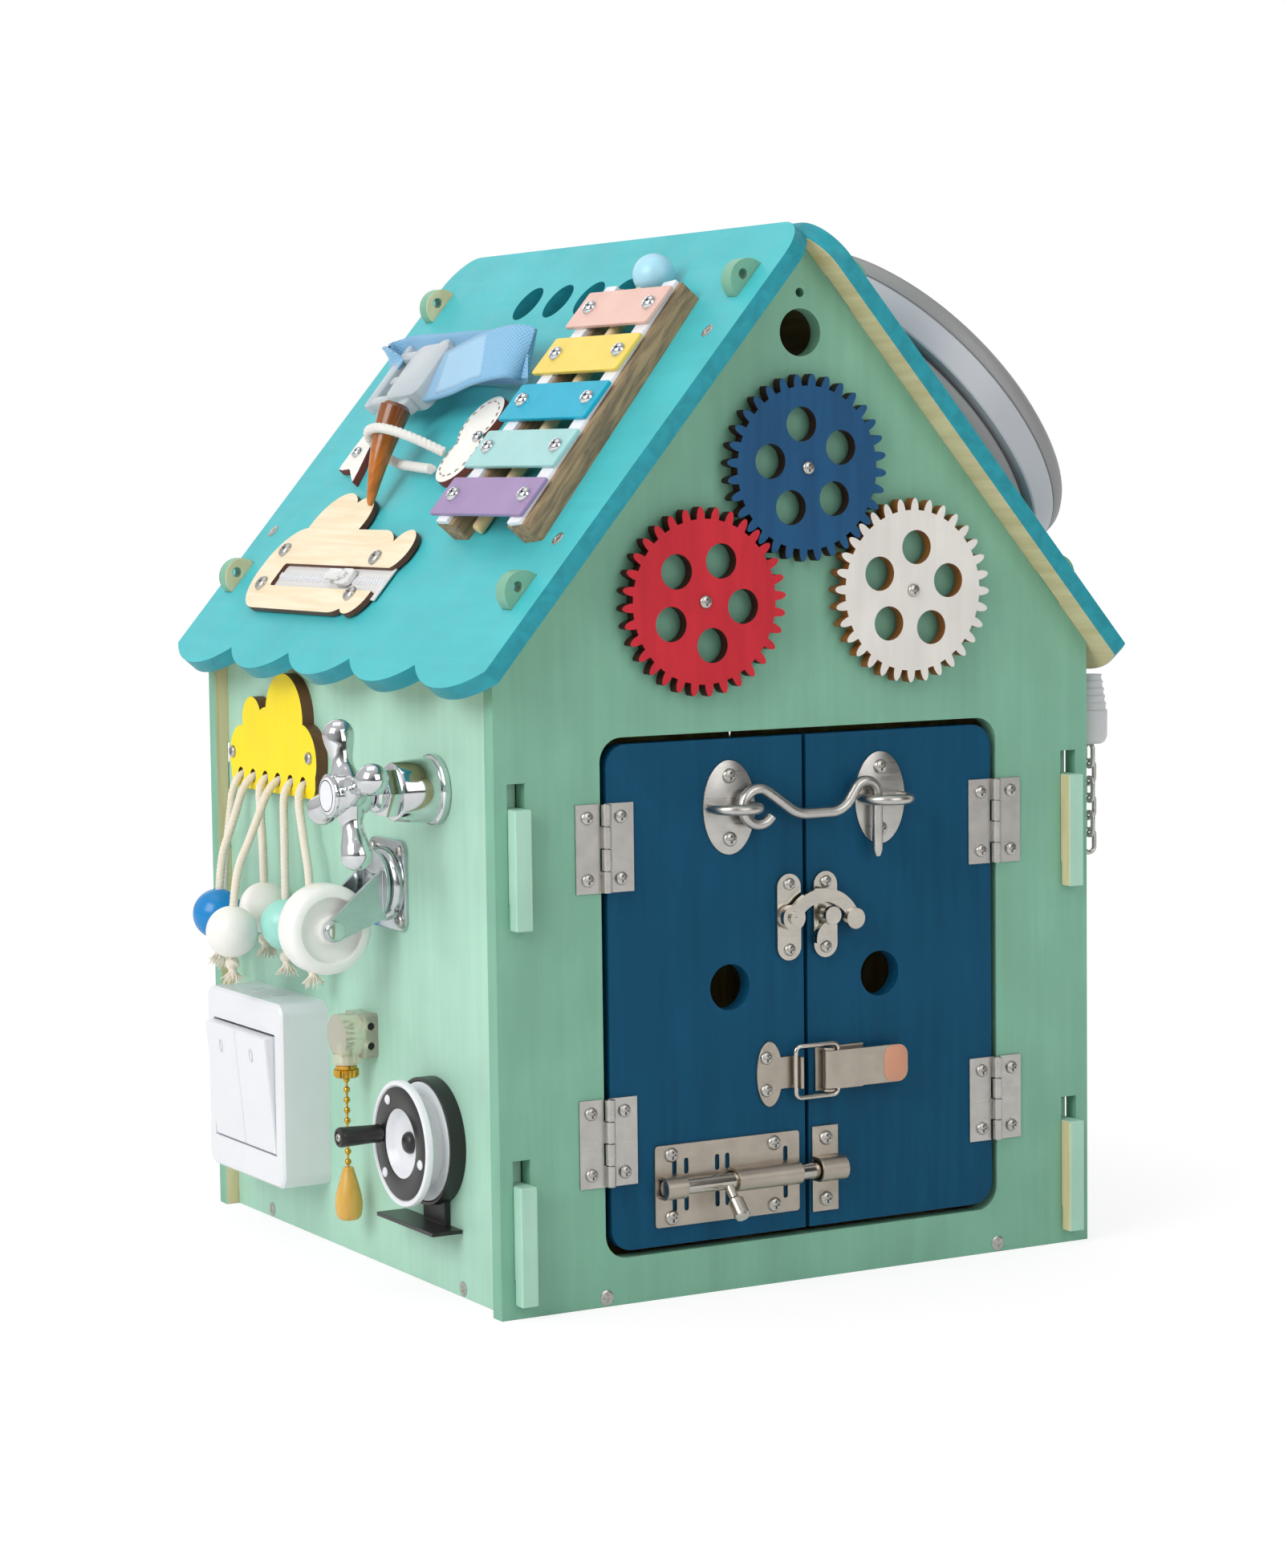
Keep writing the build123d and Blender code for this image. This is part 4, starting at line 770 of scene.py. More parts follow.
    def plastic(self, name: str, colour: str, rough: float = 0.32, peel: float = 0.002, clear: float = 0.0,
                soft: float = 0.0) -> Material:
        """Makes moulded plastic, opaque, milky or clear.

        Args:
            name: Name of the finish.
            colour: Body colour.
            rough: Roughness.
            peel: Depth of the moulding texture in millimetres.
            clear: Share of light that passes through.
            soft: Light scattered inside the wall.

        Returns:
            The material.
        """
        tree, shader, finish = self._open(name)
        cloud = self._effect(tree, Effect.MOTTLE, Scale=40.0)
        tint = self._mix(tree, 0.22, srgb(colour), cloud.outputs["Tint"], "MULTIPLY")
        tree.links.new(tint, shader.inputs["Base Color"])
        tree.links.new(self._scaled(tree, cloud.outputs["Rough"], rough, 0.08), shader.inputs["Roughness"])
        shader.inputs["Transmission Weight"].default_value = clear
        shader.inputs["IOR"].default_value = 1.49
        shader.inputs["Subsurface Weight"].default_value = soft
        shader.inputs["Subsurface Radius"].default_value = (0.004, 0.004, 0.004)
        self._bump(tree, cloud.outputs["Height"], shader, peel, 0.15)
        return finish

    def cotton(self, name: str, colour: str, dark: str) -> Material:
        """Makes spun cotton with fine fibre along each strand.

        Args:
            name: Name of the finish.
            colour: Colour on the strands.
            dark: Colour in the grooves, painted shade.

        Returns:
            The material.
        """
        tree, shader, finish = self._open(name)
        cloud = self._effect(tree, Effect.MOTTLE, Scale=420.0)
        # Low spots of the fibre bump take the darker colour: painted shade in the grooves.
        shade = self._mix(tree, cloud.outputs["Height"], srgb(dark), srgb(colour))
        tree.links.new(shade, shader.inputs["Base Color"])
        shader.inputs["Roughness"].default_value = 0.9
        shader.inputs["Sheen Weight"].default_value = 0.3
        self._bump(tree, cloud.outputs["Height"], shader, 0.15, 0.6)
        return finish

    def webbing(self, name: str, colour: str, pitch: float = 1.6, dark: str | None = None) -> Material:
        """Makes woven cloth that follows the strip's own lengths.

        Args:
            name: Name of the finish.
            colour: Colour of the yarn.
            pitch: Length of one over and under.
            dark: Colour between the yarns, painted shade.

        Returns:
            The material.
        """
        tree, shader, finish = self._open(name)
        weave = self._effect(tree, Effect.WEAVE, "lay", Pitch=pitch)
        # Low parts of the weave, between the yarns, darken towards this colour: painted shade.
        low = srgb(dark) if dark else tuple(0.62 * c for c in srgb(colour))
        shade = self._mix(tree, weave.outputs["Height"], low, srgb(colour))
        tree.links.new(shade, shader.inputs["Base Color"])
        shader.inputs["Roughness"].default_value = 0.82
        shader.inputs["Sheen Weight"].default_value = 0.35
        self._bump(tree, weave.outputs["Height"], shader, 0.25, 0.7)
        return finish

    def polished_horn(self, name: str, dark: str, amber: str, top: float, tip: float) -> Material:
        """Makes polished horn that pales down the slope.

        Args:
            name: Name of the finish.
            dark: Colour at the thick end.
            amber: Colour at the tip.
            top: Distance of the thick end from the ridge in millimetres.
            tip: Distance of the tip from the ridge.

        Returns:
            The material.
        """
        tree, shader, finish = self._open(name)
        coordinates = tree.nodes.new("ShaderNodeTexCoord")
        dot = tree.nodes.new("ShaderNodeVectorMath")
        dot.operation = "DOT_PRODUCT"
        dot.inputs[1].default_value = (COS, 0.0, SIN)
        tree.links.new(coordinates.outputs["Object"], dot.inputs[0])
        high, low = (float(ROOF_L.at(0.0, -d) @ np.array([COS, 0.0, SIN])) for d in (top, tip))
        share = tree.nodes.new("ShaderNodeMapRange")
        share.inputs["From Min"].default_value = high
        share.inputs["From Max"].default_value = low
        tree.links.new(dot.outputs["Value"], share.inputs["Value"])
        grain = self._effect(tree, Effect.GRAIN, Scale=220.0, Stretch=(14.0, 1.0, 1.0), Turn=(0.0, -SLOPE, 0.0))
        shade = self._mix(tree, share.outputs["Result"], srgb(dark), srgb(amber))
        streak = self._mix(tree, self._scaled(tree, grain.outputs["Streak"], 0.0, 0.45), shade, srgb(dark))
        tree.links.new(streak, shader.inputs["Base Color"])
        tree.links.new(self._scaled(tree, grain.outputs["Pores"], 0.2, 0.1), shader.inputs["Roughness"])
        shader.inputs["Coat Weight"].default_value = 0.4
        self._bump(tree, grain.outputs["Pores"], shader, 0.03, 0.25)
        return finish

    def key_colours(self, name: str, colours: tuple[str, ...], first: float, pitch: float) -> Material:
        """Makes enamelled bars whose colour changes from bar to bar down the slope.

        Args:
            name: Name of the finish.
            colours: Colours from the top bar down.
            first: Distance of the first bar from the ridge in millimetres.
            pitch: Distance between bars.

        Returns:
            The material.
        """
        tree, shader, finish = self._open(name)
        coordinates = tree.nodes.new("ShaderNodeTexCoord")
        dot = tree.nodes.new("ShaderNodeVectorMath")
        dot.operation = "DOT_PRODUCT"
        dot.inputs[1].default_value = (COS, 0.0, SIN)
        tree.links.new(coordinates.outputs["Object"], dot.inputs[0])
        top = ROOF_L.at(0.0, -(first - pitch / 2)) @ np.array([COS, 0.0, SIN])
        span = len(colours) * pitch * MM
        share = tree.nodes.new("ShaderNodeMapRange")
        share.inputs["From Min"].default_value = float(top)
        share.inputs["From Max"].default_value = float(top - span)
        tree.links.new(dot.outputs["Value"], share.inputs["Value"])
        ramp = tree.nodes.new("ShaderNodeValToRGB")
        ramp.color_ramp.interpolation = "CONSTANT"
        stops = ramp.color_ramp.elements
        stops[0].color = srgb(colours[0]) + (1.0,)
        stops.remove(stops[1])
        for index, code in enumerate(colours[1:], 1):
            stops.new(index / len(colours)).color = srgb(code) + (1.0,)
        tree.links.new(share.outputs["Result"], ramp.inputs["Fac"])
        cloud = self._effect(tree, Effect.MOTTLE, Scale=60.0)
        tint = self._mix(tree, 1.0, ramp.outputs["Color"], cloud.outputs["Tint"], "MULTIPLY")
        tree.links.new(tint, shader.inputs["Base Color"])
        tree.links.new(self._scaled(tree, cloud.outputs["Rough"], 0.36, 0.6), shader.inputs["Roughness"])
        shader.inputs["Specular IOR Level"].default_value = 0.2
        self._bump(tree, cloud.outputs["Height"], shader, 0.004, 0.2)
        return finish


class Finishes:
    """All finishes of the house, made once."""

    def __init__(self, shop: Workshop) -> None:
        """Makes the finishes.

        Args:
            shop: Where finishes are made.
        """
        ahead = (0.0, -1.0, 0.0)
        left_way = (-SIN, 0.0, COS)
        right_way = (SIN, 0.0, COS)
        down, along = (14.0, 1.0, 1.0), (1.0, 14.0, 1.0)
        self.front = shop.painted_ply("sage paint front", SAGE, ahead)
        self.back = shop.painted_ply("sage paint back", SAGE, (0.0, 1.0, 0.0))
        self.left = shop.painted_ply("mint paint left", MINT, (-1.0, 0.0, 0.0), veil=0.95)
        self.right = shop.painted_ply("mint paint right", MINT, (1.0, 0.0, 0.0), veil=0.95)
        self.roof_left = shop.painted_ply("teal paint left slope", TEAL, left_way, TEAL_EDGE, grain_way=along,
                                          veil=0.95)
        self.roof_right = shop.painted_ply("teal paint right slope", TEAL, right_way, TEAL_EDGE, grain_way=along,
                                           veil=0.95)
        self.door = shop.painted_ply("navy paint", "114C6B", ahead, gloss=0.45, veil=0.86, shine=0.1)
        self.cloud = shop.painted_ply("yellow paint", "F8DF1C", (-1.0, 0.0, 0.0), "6B4B33", raw=False, veil=0.97)
        self.birch = shop.bare_wood("bare birch", "EBD3A8", "D9B985")
        self.zip_wood = shop.bare_wood("heat cut birch", "EFE1C6", "E5D2B0", left_way, "5A3423", scale=260.0)
        self.pine = shop.bare_wood("pine rail", "A98B66", "74614A", scale=420.0, grain_way=down, turn=-SLOPE)
        self.knob_wood = shop.bare_wood("lacquered knob", "E2B75A", "C58B35", rough=0.25, grain_way=(1.0, 1.0, 14.0))
        self.stick_wood = shop.bare_wood("mallet stick", "EFD9AE", "DDBE87", rough=0.45, grain_way=down, turn=-SLOPE)
        self.steel = shop.metal("zinc plated steel", "C6C3BE", 0.26)
        self.nickel = shop.metal("brushed nickel", "BDB3A6", 0.3, 0.16)
        self.bright = shop.metal("polished nickel", "CBC5BB", 0.16, 0.08)
        self.zinc = shop.metal("bright zinc", "C9CFD1", 0.14, 0.08)
        self.chrome = shop.metal("chrome", "DCDEE0", 0.06, 0.03)
        self.brass = shop.metal("brass", "D9A845", 0.18, 0.1)
        self.copper = shop.plastic("copper tip film", "C98F72", 0.4)
        self.white = shop.plastic("white plastic", "E3E4E8", 0.28)
        self.clear = shop.plastic("clear plastic", "F6F3DC", 0.14, 0.01, 0.6)
        self.buckle = shop.plastic("milky buckle", "D6DFE4", 0.25, 0.01, 0.4, 0.2)
        self.slider = shop.plastic("milky slider", "F2F3F1", 0.22, 0.01, 0.3, 0.2)
        self.milky = shop.plastic("milky tyre", "FAF9F5", 0.3, 0.004, 0.15, 0.0)
        self.black = shop.plastic("black enamel", "232222", 0.34)
        self.blue_gear = shop.painted_ply("blue gear", "27567F", ahead, "2C1C18", raw=False, veil=0.82, shine=0.12)
        self.red_gear = shop.painted_ply("red gear", "C8303B", ahead, "3A1A15", raw=False, veil=0.88, shine=0.12)
        self.cream_gear = shop.painted_ply("white gear", "E0DCD6", ahead, "8A5A2B", raw=False, veil=0.95, shine=0.15)
        self.lamp_grey = shop.plastic("lamp grey", "8C8C8C", 0.4)
        self.lamp_band = shop.plastic("lamp band", "B2B6BC", 0.3)
        self.pale = shop.plastic("pale grey rubber", "C9CBCD", 0.5)
        # Near black that stands in for the shade inside holes and grooves: painted shade.
        self.dark = shop.plastic("dark recess", "1B1A19", 0.6)
        self.blue_bead = shop.plastic("blue bead paint", "0480C4", 0.24)
        self.white_bead = shop.plastic("white bead paint", "F0EEE8", 0.28)
        self.mint_bead = shop.plastic("mint bead paint", "9FDCCF", 0.28)
        self.sky_bead = shop.plastic("pale blue bead paint", "A4D4E6", 0.28)
        # Cotton and webbing darken in their grooves and between their yarns: painted shade. Where a second colour is
        # given, it is that shade.
        self.cotton = shop.cotton("cream cotton", "FBF3E6", "EADDC6")
        self.white_rope = shop.cotton("white rope", "F4F2EE", "DEDAD2")
        self.thread = shop.cotton("grey thread", "B5ADA4", "8F867C")
        self.strap = shop.webbing("sky webbing", "8AC2E8", 1.8)
        self.tag = shop.webbing("plain tag", "A9D3EE", 0.7, "93C4E4")
        self.tape = shop.webbing("zip tape", "EFEEEB", 0.9, "D2D0CB")
        self.leather = shop.painted_ply("white hide", "EEEBE4", left_way, "7A3C34", raw=False, gloss=0.6, veil=0.97)
        self.horn = shop.polished_horn("horn", "4A1E0C", "CC7416", 112.0, 146.0)
        self.keys = shop.key_colours("enamel bars", ("DDB6AA", "E8CC61", "15A4C1", "9ECBC9", "9982AB"), 54.5, 26.75)


class Head(Enum):
    """Kinds of screw head."""

    PAN = "pan"
    DOME = "dome"
    FLUSH = "flush"


@dataclass(frozen=True)
class Screws:
    """A set of cross-slotted screws on one face."""

    face: Face
    places: tuple[tuple[float, float], ...]
    height: float
    radius: float = 3.1
    head: Head = Head.PAN

    def shell(self) -> Shell:
        """Builds each head as rings of one star-shaped grid, with a sunk cross.

        The cross outline at an angle is the nearer of its arm end and its arm side.

        Returns:
            Shell of all heads.
        """
        angle = np.linspace(0, 2 * math.pi, 48, endpoint=False)
        fold = np.abs((angle + math.pi / 4) % (math.pi / 2) - math.pi / 4)
        arm, slim = 0.58 * self.radius, 0.17 * self.radius
        cross = np.minimum(arm / np.cos(fold), slim / np.maximum(np.sin(fold), 1e-6))
        rise = {Head.PAN: 0.55, Head.DOME: 0.72, Head.FLUSH: 0.16}[self.head] * self.radius
        full = np.ones_like(angle) * self.radius
        rings = [(0 * full, 0.35 * rise), (0.8 * cross, 0.35 * rise), (cross, 0.98 * rise), (0.72 * full, 0.96 * rise),
                 (0.9 * full, 0.72 * rise), (full, 0.4 * rise), (full, -0.3)]
        right, up, out = (np.array(d) for d in (self.face.right, self.face.up, self.face.out))
        ring = np.cos(angle)[:, None] * right + np.sin(angle)[:, None] * up
        unit = Shell()
        rows = [r[:, None] * ring + h * out for r, h in rings]
        unit.grid(np.stack(rows)[::-1] * MM, wrap=True, caps=True)
        u, v = np.array(self.places, float).T
        return Shell().copies(unit, self.face.at(u, v, self.height))


@dataclass
class Carcass:
    """Walls, floor and roof."""

    finishes: Finishes
    screw_u: float = 101.5
    tab_y: float = 146.0
    roof_rows: tuple[float, float] = (58.5, 172.5)

    def build(self) -> None:
        """Shows the panels and their screws."""
        f = self.finishes
        panels = {"front_panel": f.front, "back_panel": f.back, "left_side_panel": f.left, "right_side_panel": f.right,
                  "floor_panel": f.birch, "left_roof_panel": f.roof_left, "right_roof_panel": f.roof_right}
        for node, finish in panels.items():
            softened(node, finish, "house", 0.7, 3)
        heads = Shell()
        low = ((-self.screw_u, PLY / 2), (self.screw_u, PLY / 2))
        slope = tuple((s * self.tab_y, -d) for s in (-1, 1) for d in self.roof_rows)
        for face, places in ((FRONT, low), (BACK, low), (LEFT, low), (RIGHT, low), (ROOF_L, slope), (ROOF_R, slope)):
            part = Screws(face, places, 0.0, 3.3, Head.FLUSH).shell()
            heads.copies(part, np.zeros((1, 3)))
        pins = Gears(f).pin_shell()
        heads.copies(pins, np.zeros((1, 3)))
        heads.build("panel_screws", f.steel, "house", ("house_screws",))


@dataclass
class Doors:
    """Two doors with their hinges."""

    finishes: Finishes
    axis_x: float = 100.0
    rows: tuple[float, float] = (71.0, 197.0)
    screw_rise: float = 13.2
    screw_in: float = 7.6

    def build(self) -> None:
        """Shows doors, hinge leaves and hinge screws."""
        f = self.finishes
        softened("frame_hinges", f.steel, "house", 0.15)
        outer = tuple((s * (self.axis_x + self.screw_in + 1), z + d) for s in (-1, 1) for z in self.rows
                      for d in (-self.screw_rise, self.screw_rise))
        Screws(FRONT, outer, 1.0, 2.9).shell().build("hinge_screws_frame", f.steel, "house", slot="steel")
        for side, name in ((-1, "left_door"), (1, "right_door")):
            softened(name, f.door, name, 0.6, 3, merged=False)
            softened(name + "_hinges", f.steel, name, 0.15)
            places = tuple((side * (self.axis_x - self.screw_in), z + d) for z in self.rows
                           for d in (-self.screw_rise, self.screw_rise))
            Screws(FRONT, places, 1.0, 2.9).shell().build("hinge_screws_" + name, f.steel, name, slot="steel")


@dataclass
class Gears:
    """Three meshing gears on shouldered pins."""

    finishes: Finishes
    centres: tuple[tuple[float, float], ...] = ((-1.5, 356.0), (-53.5, 299.9), (52.5, 301.8))
    low: float = 2.1
    thick: float = 5.5

    def pin_shell(self) -> Shell:
        """Builds washers, shanks and heads of the pins."""
        top = self.low + self.thick + 0.2
        shell = Shell()
        profile = [(0, 0), (5, 0), (5, self.low - 0.1), (2, self.low - 0.1), (2, top), (0, top)]
        for centre in self.centres:
            shell.lathe(profile, FRONT, centre + (0.0,), sides=24)
        return shell.copies(Screws(FRONT, self.centres, top, 2.9).shell(), np.zeros((1, 3)))

    def build(self) -> None:
        """Shows the three gears."""
        f = self.finishes
        for name, finish in (("blue_gear", f.blue_gear), ("red_gear", f.red_gear), ("white_gear", f.cream_gear)):
            softened(name, finish, name, 0.35, 2, merged=False)


@dataclass
class GateLatch:
    """Gate hook with its two eyes."""

    finishes: Finishes
    eye_x: float = 38.7
    z: float = 210.9
    plate: tuple[float, float] = (13.0, 20.5)
    ring: float = 10.0
    out: float = 6.4

    def _eye(self, x: float) -> Shell:
        """Builds an oval plate with its staple."""
        shell = Shell().prism(ellipse(*self.plate, (x, self.z), 56), FRONT, 0.0, 1.2, 0.35)
        bow = arc((0, self.out), self.ring, 180, 0, 28)
        path = np.concatenate([[[-self.ring, 0.5], [-self.ring, 3.5]], bow, [[self.ring, 3.5], [self.ring, 0.5]]])
        shell.tube(FRONT.at(x + path[:, 0], self.z + 0 * path[:, 0], path[:, 1]), 2.3, 18)
        return shell

    def _hook(self) -> Array:
        """Gives the hook's centre line: a loop, a sagging run, a peak and a straight pin."""
        pin = np.array([[61.0, -6.0], [61.0, -16.0], [61.0, -22.6], [61.0, -25.2]])
        return np.concatenate([arc((0, 0), 7.75, -35, -305, 40), arc((24.84, 11.6), 16.0, -125, -90, 14),
                               arc((36.75, 7.6), 12.0, -90, -35, 18), arc((55.0, 2.27), 6.0, 145, 0, 24), pin])

    def build(self) -> None:
        """Builds eyes, screws and hook."""
        f = self.finishes
        for side, name, body in ((-1, "left_eye", "left_door"), (1, "right_eye", "right_door")):
            self._eye(side * self.eye_x).build("gate_" + name, f.steel, body, (name,))
            places = tuple((side * self.eye_x, self.z + d) for d in (-13.7, 13.7))
            Screws(FRONT, places, 1.2, 3.2).shell().build(name + "_screws", f.steel, body, slot="steel")
        line = self._hook()
        pivot = 11.5 - self.eye_x
        wide = np.full(len(line), 2.4)
        wide[-3:] = (2.4, 2.3, 1.2)
        path = FRONT.at(pivot + line[:, 0], self.z + line[:, 1], self.out)
        Shell().tube(path, wide, 18).build("gate_hook_rod", f.steel, "gate_hook", ("gate_hook",))


@dataclass
class Latches:
    """Swing latch, draw latch and barrel bolt."""

    finishes: Finishes
    swing_x: float = 9.4
    swing_z: float = 161.3
    draw_z: float = 93.0
    bolt_z: float = 49.2
    bolt_out: float = 5.6

    def _swing(self) -> None:
        """Builds the swing latch."""
        f = self.finishes
        for side, node, body in ((-1, "swing_pivot_plate", "left_door"), (1, "swing_catch_plate", "right_door")):
            softened(node, f.bright, body, 0.5, 3)
            places = tuple((side * self.swing_x, self.swing_z + d) for d in (-14.3, 14.5))
            Screws(FRONT, places, 2.0, 2.7).shell().build(node + "_screws", f.steel, body, slot="nickel")
        softened("swing_arm", f.bright, "swing_arm", 0.7, 3)
        dome = [(0, 7.9), (1.4, 7.7), (2.4, 7.2), (2.8, 6.6), (2.8, 6.3)]
        Shell().lathe(dome, FRONT, (-self.swing_x, self.swing_z, 0.0), sides=32).build(
            "swing_rivet", f.bright, "left_door", slot="nickel")

    def _draw(self) -> None:
        """Builds the draw latch with its wire bail."""
        f = self.finishes
        softened("draw_catch", f.nickel, "left_door", 0.3)
        Screws(FRONT, ((-21.6, 100.3), (-21.6, 86.1)), 1.4, 2.9).shell().build(
            "draw_catch_screws", f.steel, "left_door", slot="nickel")
        softened("draw_base", f.nickel, "right_door", 0.25)
        softened("draw_lever", f.nickel, "draw_lever", 0.3)
        tip = rounded(12.0, 16.2, 4.6, (42.6, self.draw_z))
        Shell().prism(tip, FRONT, 6.2, 6.75, 0.2).build("lever_tip_film", f.copper, "draw_lever", slot="nickel")
        ring = rounded(21.7, 22.8, 2.6, (2.85, self.draw_z), 7)
        Shell().tube(FRONT.at(ring[:, 0], ring[:, 1], 4.0), 1.1, 14, loop=True).build(
            "bail_wire", f.bright, "draw_bail", ("draw_bail",))

    def _bolt(self) -> None:
        """Builds the barrel bolt with its turned knob."""
        f = self.finishes
        softened("bolt_housing", f.nickel, "left_door", 0.3)
        softened("bolt_keeper", f.nickel, "right_door", 0.3)
        places = tuple((x, z) for x in (-69.8, -18.0) for z in (62.7, 35.4))
        Screws(FRONT, places, 1.3, 3.2).shell().build("bolt_screws", f.steel, "left_door", slot="nickel")
        Screws(FRONT, ((8.8, 62.2), (8.8, 35.1)), 1.3, 3.2).shell().build(
            "keeper_screws", f.steel, "right_door", slot="nickel")
        rod = [(0, 0), (3.2, 0), (3.6, 0.5), (3.6, 89.4), (3.1, 90.2), (0, 90.2)]
        shell = Shell().lathe(rod, FRONT, (-75.7, self.bolt_z, self.bolt_out), (1, 0, 0), 40)
        knob = [(0, 0), (2.1, 0), (2.1, 9.0), (2.6, 9.6), (3.5, 10.4), (3.5, 18.2), (2.9, 19.0), (0, 19.0)]
        shell.lathe(knob, FRONT, (-44.6, self.bolt_z, self.bolt_out), (0, -1, 1), 32)
        shell.build("bolt_and_knob", f.bright, "bolt_rod", ("bolt_rod",))

    def build(self) -> None:
        """Builds the three latches."""
        self._swing()
        self._draw()
        self._bolt()


@dataclass
class CloudBeads:
    """Cloud plate with six knotted cords and their beads."""

    finishes: Finishes
    exit_z: float = 213.5
    first_y: float = 114.0
    pitch: float = 14.3
    sheet: float = 3.0
    cord: float = 1.8
    ball: float = 12.0
    bore: float = 2.15
    knot: float = 3.4
    beads: tuple[Point, ...] = ((12.2, 124.0, 143.0), (24.4, 102.1, 148.6), (12.2, 75.0, 153.5),
                                (35.0, 61.5, 145.1), (12.2, 51.0, 148.0), (12.2, 22.0, 146.0))

    def _route(self, index: int) -> Array:
        """Gives the route of one cord, as the solid has it."""
        exit_y = self.first_y - self.pitch * index
        out, y, z = self.beads[index]
        low = z - self.ball - 2 * self.knot - 1.5
        high = z + self.ball + 10
        share = 0.45
        start = 2 * self.sheet + 3.5
        bends = np.array([(-exit_y, self.exit_z, self.sheet), (-exit_y, self.exit_z, start),
                          (-exit_y + (exit_y - y) * share, (self.exit_z + high) / 2, start + (out - 9.5) * share),
                          (-y, high, out), (-y, low, out)])
        return LEFT.at(*bends.T)

    def _fray(self, shell: Shell, index: int) -> None:
        """Adds loose yarn ends that spread below the knot."""
        out, y, z = self.beads[index]
        rng = np.random.default_rng(40 + index)
        foot = z - self.ball - 2 * self.knot + 1.2
        t = np.linspace(0, 1, 7)
        yarns = 40
        turns = np.linspace(0, 12 * math.pi, yarns)
        for angle, spread, length in zip(turns, rng.uniform(1.2, 5.0, yarns), rng.uniform(3, 7, yarns)):
            u = -y + (1.1 + spread * t ** 1.5) * np.cos(angle + 0.5 * t)
            w = out + (1.1 + spread * t ** 1.5) * np.sin(angle + 0.5 * t)
            shell.tube(LEFT.at(u, foot - length * t, w), 0.42 - 0.22 * t, 5)

    def build(self) -> None:
        """Builds plate, cords, knots, frayed ends and beads."""
        f = self.finishes
        softened("cloud_plate", f.cloud, "house", 0.4)
        Screws(LEFT, ((-122.5, 223.6), (-35.0, 225.8)), 6.0, 2.9).shell().build(
            "cloud_screws", f.steel, "house", slot="steel")
        paints = (f.mint_bead, f.blue_bead, f.white_bead, f.white_bead, f.mint_bead, f.blue_bead)
        seat = math.sqrt(self.ball ** 2 - self.bore ** 2) + math.sqrt(self.knot ** 2 - self.bore ** 2)
        nodes = {0: (("bead_cords",), ("cord_beads",))}
        for index, (out, y, z) in enumerate(self.beads):
            cord_nodes, bead_nodes = nodes.get(index, ((), ()))
            path = route_points(self._route(index))
            cord = Shell().tube(path, 1.15 * self.cord, 24, lobes=4, pitch=8.0, depth=0.2).build(
                f"bead_cord_{index + 1}", f.cotton, "house", cord_nodes, slot="cotton")
            ends = Shell()
            theta = np.linspace(0, math.pi, 18)[:, None]
            phi = np.linspace(0, 2 * math.pi, 32, endpoint=False)[None]
            lump = self.knot * (0.94 + 0.12 * np.cos(4 * phi + 5 * theta) * np.sin(theta))
            ends.grid(LEFT.at(-y + lump * np.sin(theta) * np.cos(phi), z - seat - 0.4 + 0.9 * lump * np.cos(theta),
                              out + lump * np.sin(theta) * np.sin(phi)), wrap=True)
            self._fray(ends, index)
            knot = ends.build(f"bead_knot_{index + 1}", f.cotton, "house", slot="cotton")
            bead = Shell().lathe(sphere_profile(self.ball, self.bore, 25), LEFT, (-y, z, out), (0, 1, 0), 56).build(
                f"bead_{index + 1}", paints[index], "house", bead_nodes, slot="painted_beads")


